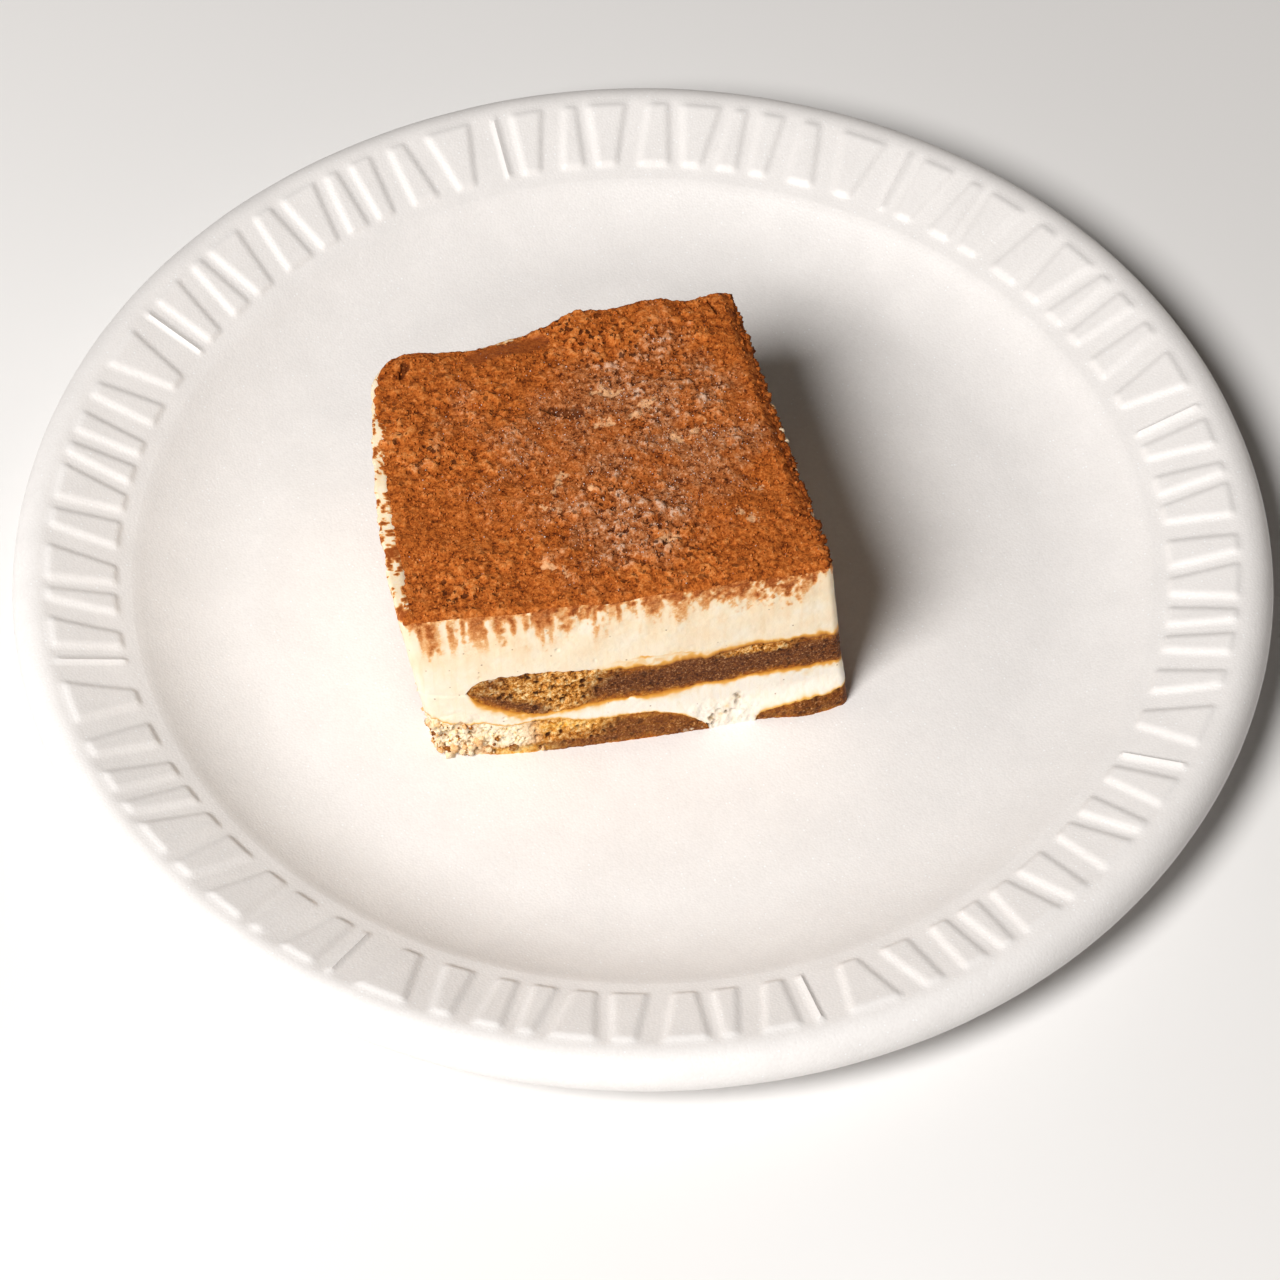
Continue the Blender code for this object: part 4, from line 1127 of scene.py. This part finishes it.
def cream_finish():
    """Mascarpone cream cut with a knife: pale warm ivory, a little light let in, a soft satin shine. Cocoa is
    smeared over the upper edge, syrup yellows it beside the fingers, and brown specks show here and there."""
    material, shader, places, smeared, syrup, crumbled, fresh, pore = new_finish(
        "mascarpone_cream_cut", "smear", "syrup", "crumbled", "fresh", "pore"
    )
    # Slow patches of about 5 mm, and streaks 0.8 mm wide that run up the cut
    patches = add_node(material, "TexNoise", {"Vector": places, "Scale": 200.0, "Detail": 3.0})
    stops = ((0.3, "#FEE4C0"), (0.5, "#FFECCD"), (0.72, "#FFF3DE"))
    body = add_node(material, "ValToRGB", {"Fac": patches}, stops=stops)
    upright = add_node(material, "Mapping", {"Vector": places, "Scale": (1.0, 1.0, 0.08)})
    streaks = add_node(material, "TexNoise", {"Vector": upright, "Scale": 1100.0, "Detail": 2.0})
    streak_range = {"From Min": 0.5, "From Max": 0.75, "To Max": 0.22}
    streak_share = add_node(material, "MapRange", {"Value": streaks, **streak_range})
    # Syrup: yellow where it is thin, orange brown against the finger
    stops = ((0.1, "#FCE0AC"), (0.4, "#F5BC60"), (0.7, "#DA9030"), (1.0, "#8E4C14"))
    syrup_colour = add_node(material, "ValToRGB", {"Fac": syrup}, stops=stops)
    syrup_share = add_node(material, "MapRange", {"Value": syrup, "From Min": 0.04, "From Max": 0.45})
    # Powder grain of 0.4 mm breaks up the smear, which is a peach stain where thin and powder where thick
    grain_inputs = {"Scale": 2300.0, "Detail": 3.0, "Roughness": 0.65}
    grain = add_node(material, "TexNoise", {"Vector": places, **grain_inputs})
    uneven = add_node(material, "Math", {0: grain, 1: 1.7, 2: 0.15}, operation="MULTIPLY_ADD")
    covered = add_node(material, "Math", {0: uneven, 1: smeared}, operation="MULTIPLY")
    stops = ((0.0, "#FBDFB6"), (0.2, "#F2C28A"), (0.4, "#DE9858"), (0.66, "#BF7034"), (1.0, "#984A14"))
    powder = add_node(material, "ValToRGB", {"Fac": covered}, stops=stops)
    stain = add_node(material, "MapRange", {"Value": covered, "From Max": 0.22})
    # Specks of coffee and cocoa, 0.3 mm across and a few millimetres apart
    specks = add_node(material, "TexVoronoi", {"Vector": places, "Scale": 420.0})
    speck_range = {"From Min": 0.04, "From Max": 0.1, "To Min": 0.6, "To Max": 0.0}
    specks = add_node(material, "MapRange", {"Value": specks, **speck_range})
    # Crumbs of sponge caught in the broken corner
    bit_inputs = {"Scale": 1250.0, "Detail": 3.0, "Roughness": 0.6}
    bits = add_node(material, "TexNoise", {"Vector": places, **bit_inputs})
    bit_range = {"From Min": 0.57, "From Max": 0.69, "To Max": 0.65}
    bits = add_node(material, "MapRange", {"Value": bits, **bit_range})
    bits = add_node(material, "Math", {0: bits, 1: crumbled}, operation="MULTIPLY")
    pore = add_node(material, "Math", {0: pore, 1: 0.8}, operation="MULTIPLY")
    # Coats from the bottom one up: the lower layer is whiter, because no cocoa has been drawn over it, and
    # the pores along the torn line are painted grey brown inside as shade
    coats = (
        (fresh, linear("#FFF6E8")),
        (streak_share, linear("#F3D19B")),
        (syrup_share, syrup_colour),
        (stain, powder),
        (specks, linear("#8A5A2A")),
        (bits, linear("#C07C32")),
        (pore, linear("#5C431E")),
    )
    for share, colour in coats:
        body = add_node(material, "Mix", {0: share, 6: body, 7: colour}, 2, data_type="RGBA")
    relief = add_node(material, "Math", {0: streaks, 1: 0.25, 2: grain}, operation="MULTIPLY_ADD")
    bump = add_node(material, "Bump", {"Height": relief, "Strength": 0.35, "Distance": 0.00012})
    rough = add_node(material, "MapRange", {"Value": covered, "To Min": 0.42, "To Max": 0.85})
    fill_inputs(shader, {"Base Color": body, "Roughness": rough, "Normal": bump})
    fill_inputs(shader, {"IOR": 1.45, "Specular IOR Level": 0.3, "Subsurface Weight": 0.15})
    fill_inputs(shader, {"Subsurface Radius": (1.0, 0.7, 0.4), "Subsurface Scale": 0.002})
    return material


def sponge_finish():
    """Ladyfinger sponge dipped in coffee: golden open crumb where it stayed dry, dense dark brown and moist
    where it soaked, orange brown along the skin."""
    material, shader, places, coffee, skin, pore, crumbled, wet = new_finish(
        "coffee_soaked_sponge", "coffee", "skin", "pore", "crumbled", "wet"
    )
    # Crumb walls of about 0.35 mm, drawn three times as coarse so that they show
    crumb_inputs = {"Scale": 1000.0, "Detail": 4.0, "Roughness": 0.8}
    crumb = add_node(material, "TexNoise", {"Vector": places, **crumb_inputs})
    stops = ((0.37, "#4C2608"), (0.45, "#B87226"), (0.53, "#E2A250"), (0.62, "#FFE2A8"))
    body = add_node(material, "ValToRGB", {"Fac": crumb}, stops=stops)
    # Where it is soaked the crumb has closed up to a grain of 0.25 mm
    grain_inputs = {"Scale": 2600.0, "Detail": 3.0, "Roughness": 0.7}
    grain = add_node(material, "TexNoise", {"Vector": places, **grain_inputs})
    grain = add_node(material, "Mix", {0: 0.7, 2: crumb, 3: grain})
    stops = ((0.38, "#38180A"), (0.48, "#683816"), (0.56, "#844E26"), (0.66, "#C89C6E"))
    soaked = add_node(material, "ValToRGB", {"Fac": grain}, stops=stops)
    patches = add_node(material, "TexNoise", {"Vector": places, "Scale": 420.0, "Detail": 2.0})
    reach = add_node(material, "Math", {0: patches, 1: 0.7, 2: coffee}, operation="MULTIPLY_ADD")
    reach = add_node(material, "MapRange", {"Value": reach, "From Min": 0.5, "From Max": 1.05})
    stops = ((0.36, "#84400C"), (0.5, "#BC6C1A"), (0.66, "#E6A23A"))
    skin_colour = add_node(material, "ValToRGB", {"Fac": crumb}, stops=stops)
    skin_share = add_node(material, "Math", {0: skin, 1: 0.85}, operation="MULTIPLY")
    # Thin syrup has run into the dry crumb in places, and stays yellow orange there
    stops = ((0.36, "#DA8A20"), (0.44, "#F8B446"), (0.58, "#FFDE94"))
    wet_colour = add_node(material, "ValToRGB", {"Fac": crumb}, stops=stops)
    # The broken corner is full of cream
    stops = ((0.34, "#DCAE68"), (0.42, "#F5DEB0"), (0.54, "#FFF0D6"))
    pale = add_node(material, "ValToRGB", {"Fac": crumb}, stops=stops)
    pale_share = add_node(material, "MapRange", {"Value": crumbled, "From Min": 0.15, "From Max": 0.6})
    # Painted shade: open pores are darkened to near black brown in colour
    pore_range = {"From Min": 0.15, "From Max": 0.65, "To Max": 0.95}
    pore_shade_share = add_node(material, "MapRange", {"Value": pore, **pore_range})
    coats = (
        (reach, soaked),
        (skin_share, skin_colour),
        (wet, wet_colour),
        (pale_share, pale),
        (pore_shade_share, linear("#3E1C06")),
    )
    for share, colour in coats:
        body = add_node(material, "Mix", {0: share, 6: body, 7: colour}, 2, data_type="RGBA")
    bump = add_node(material, "Bump", {"Height": crumb, "Strength": 0.7, "Distance": 0.00025})
    rough = add_node(material, "MapRange", {"Value": coffee, "To Min": 0.9, "To Max": 0.6})
    fill_inputs(shader, {"Base Color": body, "Roughness": rough, "Normal": bump})
    fill_inputs(shader, {"IOR": 1.4, "Specular IOR Level": 0.25})
    return material


def cocoa_finish():
    """Cocoa powder sifted on cream: matt rust brown grains with painted shade in the pits between and painted
    light on raised points, paler and greyer where frost has formed, and darker and smooth where it is damp."""
    material, shader, places, frost, bald, damp, pit_and_painted_shade, proud, crumbly = new_finish(
        "cocoa_powder_sifted", "frost", "bald", "damp", "pit_and_painted_shade", "proud", "crumbly"
    )
    # Grains of powder are too fine to show, so the smallest clumps are drawn, 0.4 and 0.8 mm across
    fine_inputs = {"Scale": 2500.0, "Detail": 2.0, "Roughness": 0.7}
    fine = add_node(material, "TexNoise", {"Vector": places, **fine_inputs})
    coarse_inputs = {"Scale": 1000.0, "Detail": 3.0, "Roughness": 0.6}
    coarse = add_node(material, "TexNoise", {"Vector": places, **coarse_inputs})
    patches = add_node(material, "TexNoise", {"Vector": places, "Scale": 260.0, "Detail": 3.0})
    grain = add_node(material, "Mix", {0: 0.5, 2: coarse, 3: fine})
    # Painted light and shade on the relief: points that stand proud are lighter and low ones darker, added to
    # the random grain and patches
    tone = add_node(material, "Math", {0: proud, 1: 0.2, 2: grain}, operation="MULTIPLY_ADD")
    tone = add_node(material, "Math", {0: patches, 1: 0.12, 2: tone}, operation="MULTIPLY_ADD")
    stops = ((0.45, "#521F06"), (0.56, "#9E4E18"), (0.68, "#C66E2C"), (0.83, "#E09250"))
    body = add_node(material, "ValToRGB", {"Fac": tone}, stops=stops)
    # Frost: a dusty rose brown with grains of ice, on the same tone, so it too is painted darker in low places
    # as shade
    stops = ((0.48, "#502410"), (0.57, "#9C5629"), (0.68, "#BE7C4C"), (0.80, "#DAB49A"))
    frosted = add_node(material, "ValToRGB", {"Fac": tone}, stops=stops)
    frost_share = add_node(material, "Math", {0: patches, 1: 0.5, 2: frost}, operation="MULTIPLY_ADD")
    frost_range = {"From Min": 0.3, "From Max": 1.1, "To Max": 0.95}
    frost_share = add_node(material, "MapRange", {"Value": frost_share, **frost_range})
    # Cream shows pale through the powder in a few flecks
    bare = add_node(material, "Math", {0: grain, 1: 2.6, 2: bald}, operation="MULTIPLY_ADD")
    bare = add_node(material, "MapRange", {"Value": bare, "From Min": 1.6, "From Max": 2.25, "To Max": 0.72})
    damp_share = add_node(material, "Math", {0: damp, 1: 0.6}, operation="MULTIPLY")
    # Pits of 0.3 to 0.6 mm between the clumps, in cells of 1.3 mm with a wavy edge, painted dark as shade and
    # bumped
    wave = add_node(material, "TexNoise", {"Vector": places, "Scale": 1600.0, "Detail": 1.0}, "Color")
    wave_size = (0.0009, 0.0009, 0.0009)
    wavy = add_node(material, "VectorMath", {0: wave, 1: wave_size, 2: places}, operation="MULTIPLY_ADD")
    cell = add_node(material, "TexVoronoi", {"Vector": wavy, "Scale": 760.0})
    own = cell.node.outputs["Color"]
    spread = add_node(material, "Math", {0: own, 1: -0.5, 2: cell}, operation="MULTIPLY_ADD")
    specks = add_node(material, "MapRange", {"Value": spread, "From Min": 0.05, "From Max": -0.1})
    specks = add_node(material, "Math", {0: specks, 1: crumbly}, operation="MULTIPLY")
    pit_share = add_node(material, "MapRange", {"Value": pit_and_painted_shade, "From Min": 0.2, "From Max": 1.0})
    pit_share = add_node(material, "Math", {0: pit_share, 1: specks}, operation="MAXIMUM")
    # Painted shade: the pits, gaps and slits are darkened in colour
    painted_pit_shade = add_node(material, "Math", {0: pit_share, 1: 0.8}, operation="MULTIPLY")
    coats = (
        (frost_share, frosted),
        (bare, linear("#F0BC8A")),
        (damp_share, linear("#8E4A26")),
        (painted_pit_shade, linear("#4A1E08")),
    )
    for share, colour in coats:
        body = add_node(material, "Mix", {0: share, 6: body, 7: colour}, 2, data_type="RGBA")
    relief = add_node(material, "Math", {0: pit_share, 1: -0.5, 2: grain}, operation="MULTIPLY_ADD")
    bump = add_node(material, "Bump", {"Height": relief, "Strength": 1.0, "Distance": 0.00036})
    rough = add_node(material, "MapRange", {"Value": damp, "To Min": 0.9, "To Max": 0.35})
    fill_inputs(shader, {"Base Color": body, "Roughness": rough, "Normal": bump})
    fill_inputs(shader, {"IOR": 1.4, "Specular IOR Level": 0.2})
    return material


def frost_finish():
    """Frost: small clear white crystals with a sharp glint."""
    material, shader, places = new_finish("frost_crystal")
    shimmer = add_node(material, "TexNoise", {"Vector": places, "Scale": 900.0})
    colour = add_node(material, "ValToRGB", {"Fac": shimmer}, stops=((0.4, "#B8907A"), (0.6, "#E6D2C8")))
    fill_inputs(shader, {"Base Color": colour, "Roughness": 0.25, "IOR": 1.31})
    return material


def foam_finish():
    """Expanded polystyrene pressed hot into a plate: a white satin skin with the fine pebble of its beads,
    and tiny glints painted as white specks on a few glossier beads."""
    material, shader, places = new_finish("expanded_polystyrene_pressed")
    # Slow shading of the skin over 8 mm, and beads of about 0.5 mm
    cloud = add_node(material, "TexNoise", {"Vector": places, "Scale": 120.0, "Detail": 3.0})
    body = add_node(material, "ValToRGB", {"Fac": cloud}, stops=((0.35, "#F4F1EF"), (0.65, "#F8F5F3")))
    bead = add_node(material, "TexVoronoi", {"Vector": places, "Scale": 2000.0})
    own = bead.node.outputs["Color"]
    bead_tone = add_node(material, "Math", {0: own, 1: 0.2}, operation="MULTIPLY")
    # One bead in ten gets a painted glint: white mixed into its colour, and a lower roughness
    painted_glint_and_gloss = add_node(material, "MapRange", {"Value": own, "From Min": 0.86, "From Max": 0.9})
    middle_range = {"From Min": 0.25, "From Max": 0.5, "To Min": 1.0, "To Max": 0.0}
    middle = add_node(material, "MapRange", {"Value": bead, **middle_range})
    painted_glint_and_gloss = add_node(material, "Math", {0: painted_glint_and_gloss, 1: middle}, operation="MULTIPLY")
    # Painted glint: the glinting beads are mixed toward white in colour
    for share, colour in ((bead_tone, linear("#D8D3D0")), (painted_glint_and_gloss, linear("#FFFFFF"))):
        body = add_node(material, "Mix", {0: share, 6: body, 7: colour}, 2, data_type="RGBA")
    bump = add_node(material, "Bump", {"Height": bead, "Strength": 0.22, "Distance": 0.00015}, invert=True)
    rough = add_node(material, "MapRange", {"Value": painted_glint_and_gloss, "To Min": 0.5, "To Max": 0.3})
    fill_inputs(shader, {"Base Color": body, "Roughness": rough, "Normal": bump, "IOR": 1.5})
    return material


def make_floor():
    """A wide matt table top, almost white."""
    material, shader, places = new_finish("matt_table_top")
    cloud = add_node(material, "TexNoise", {"Vector": places, "Scale": 6.0})
    colour = add_node(material, "ValToRGB", {"Fac": cloud}, stops=((0.3, "#F4F3F2"), (0.7, "#F7F6F5")))
    fill_inputs(shader, {"Base Color": colour, "Roughness": 0.85})
    corners = [(x * TABLE_REACH, y * TABLE_REACH, 0.0) for x, y in ((-1, -1), (1, -1), (1, 1), (-1, 1))]
    mesh = bpy.data.meshes.new("table_top")
    mesh.from_pydata(corners, [], [(0, 1, 2, 3)])
    mesh.materials.append(material)
    table = bpy.data.objects.new("table_top", mesh)
    bpy.context.scene.collection.objects.link(table)


def point_at(item, target):
    """Turns a camera or light, which look along their own -Z, towards a point."""
    item.rotation_euler = (Vector(target) - item.location).to_track_quat("-Z", "Y").to_euler()


def make_lamp(name, direction, elevation, distance, size, power, colour):
    """A round soft light that stands in this direction from the portion and points at it."""
    light = bpy.data.lights.new(name, "AREA")
    light.shape = "DISK"
    light.size = size
    light.energy = power
    light.color = colour
    lamp = bpy.data.objects.new(name, light)
    level = distance * math.cos(math.radians(elevation)) / math.hypot(*direction)
    lamp.location = (direction[0] * level, direction[1] * level, distance * math.sin(math.radians(elevation)))
    bpy.context.scene.collection.objects.link(lamp)
    point_at(lamp, (0.0, 0.0, 0.01))


def make_light():
    """A soft light from the front left, a weak low one from the back right, and an even low fill all
    round."""
    make_lamp("key", (-0.72, -0.69), 50, 1.0, 0.44, 11.8, (1.0, 0.98, 0.96))
    make_lamp("back_fill", (0.75, 0.65), 9, 1.2, 0.35, 1.6, (1.0, 0.93, 0.87))
    world = bpy.data.worlds.new("fill")
    world.use_nodes = True
    world.node_tree.nodes["Background"].inputs["Color"].default_value = (1.0, 0.85, 0.7, 1.0)
    world.node_tree.nodes["Background"].inputs["Strength"].default_value = 0.034
    bpy.context.scene.world = world
    bpy.context.scene.view_settings.view_transform = "Standard"


def make_camera():
    """The photograph's view: far off with a long lens, looking down at the plate."""
    camera = bpy.data.cameras.new("camera")
    camera.lens = CAMERA_LENS
    camera.sensor_width = 36.0
    view = bpy.data.objects.new("camera", camera)
    view.location = (
        CAMERA_DISTANCE * math.sin(CAMERA_AZIMUTH) * math.cos(CAMERA_ELEVATION),
        -CAMERA_DISTANCE * math.cos(CAMERA_AZIMUTH) * math.cos(CAMERA_ELEVATION),
        CAMERA_DISTANCE * math.sin(CAMERA_ELEVATION),
    )
    point_at(view, PICTURE_MIDDLE)
    bpy.context.scene.collection.objects.link(view)
    bpy.context.scene.camera = view


def make_portion():
    """Every layer of the portion, its loose grains and its crumbs."""
    cream, sponge, cocoa = cream_finish(), sponge_finish(), cocoa_finish()
    make_upper_cream(cream)
    make_lower_cream(cream)
    make_sponge(
        "upper_sponge", (UPPER_FINGER_TIP, 1.0), (420, 300, 300, 60),
        upper_sponge_bottom, upper_sponge_top, 48, UPPER_COFFEE, 401, sponge,
    )
    make_sponge(
        "lower_sponge_left", (0.0, LEFT_FINGER_END), (320, 60, 210, 260),
        foot, left_sponge_top, 40, LEFT_COFFEE, 501, sponge,
    )
    make_sponge(
        "lower_sponge_right", (RIGHT_FINGER_START, 1.0), (110, 300, 90, 40),
        foot, right_sponge_top, 22, RIGHT_COFFEE, 601, sponge,
    )
    top_points, to_rim = make_cocoa(cocoa)
    make_cocoa_grains(top_points, to_rim, cocoa)
    make_frost_crystals(top_points, to_rim, frost_finish())
    make_edge_clumps(cocoa, cream)
    make_corner_crumbs(cream, sponge)


make_camera()
make_light()
make_floor()
make_plate(foam_finish())
make_portion()
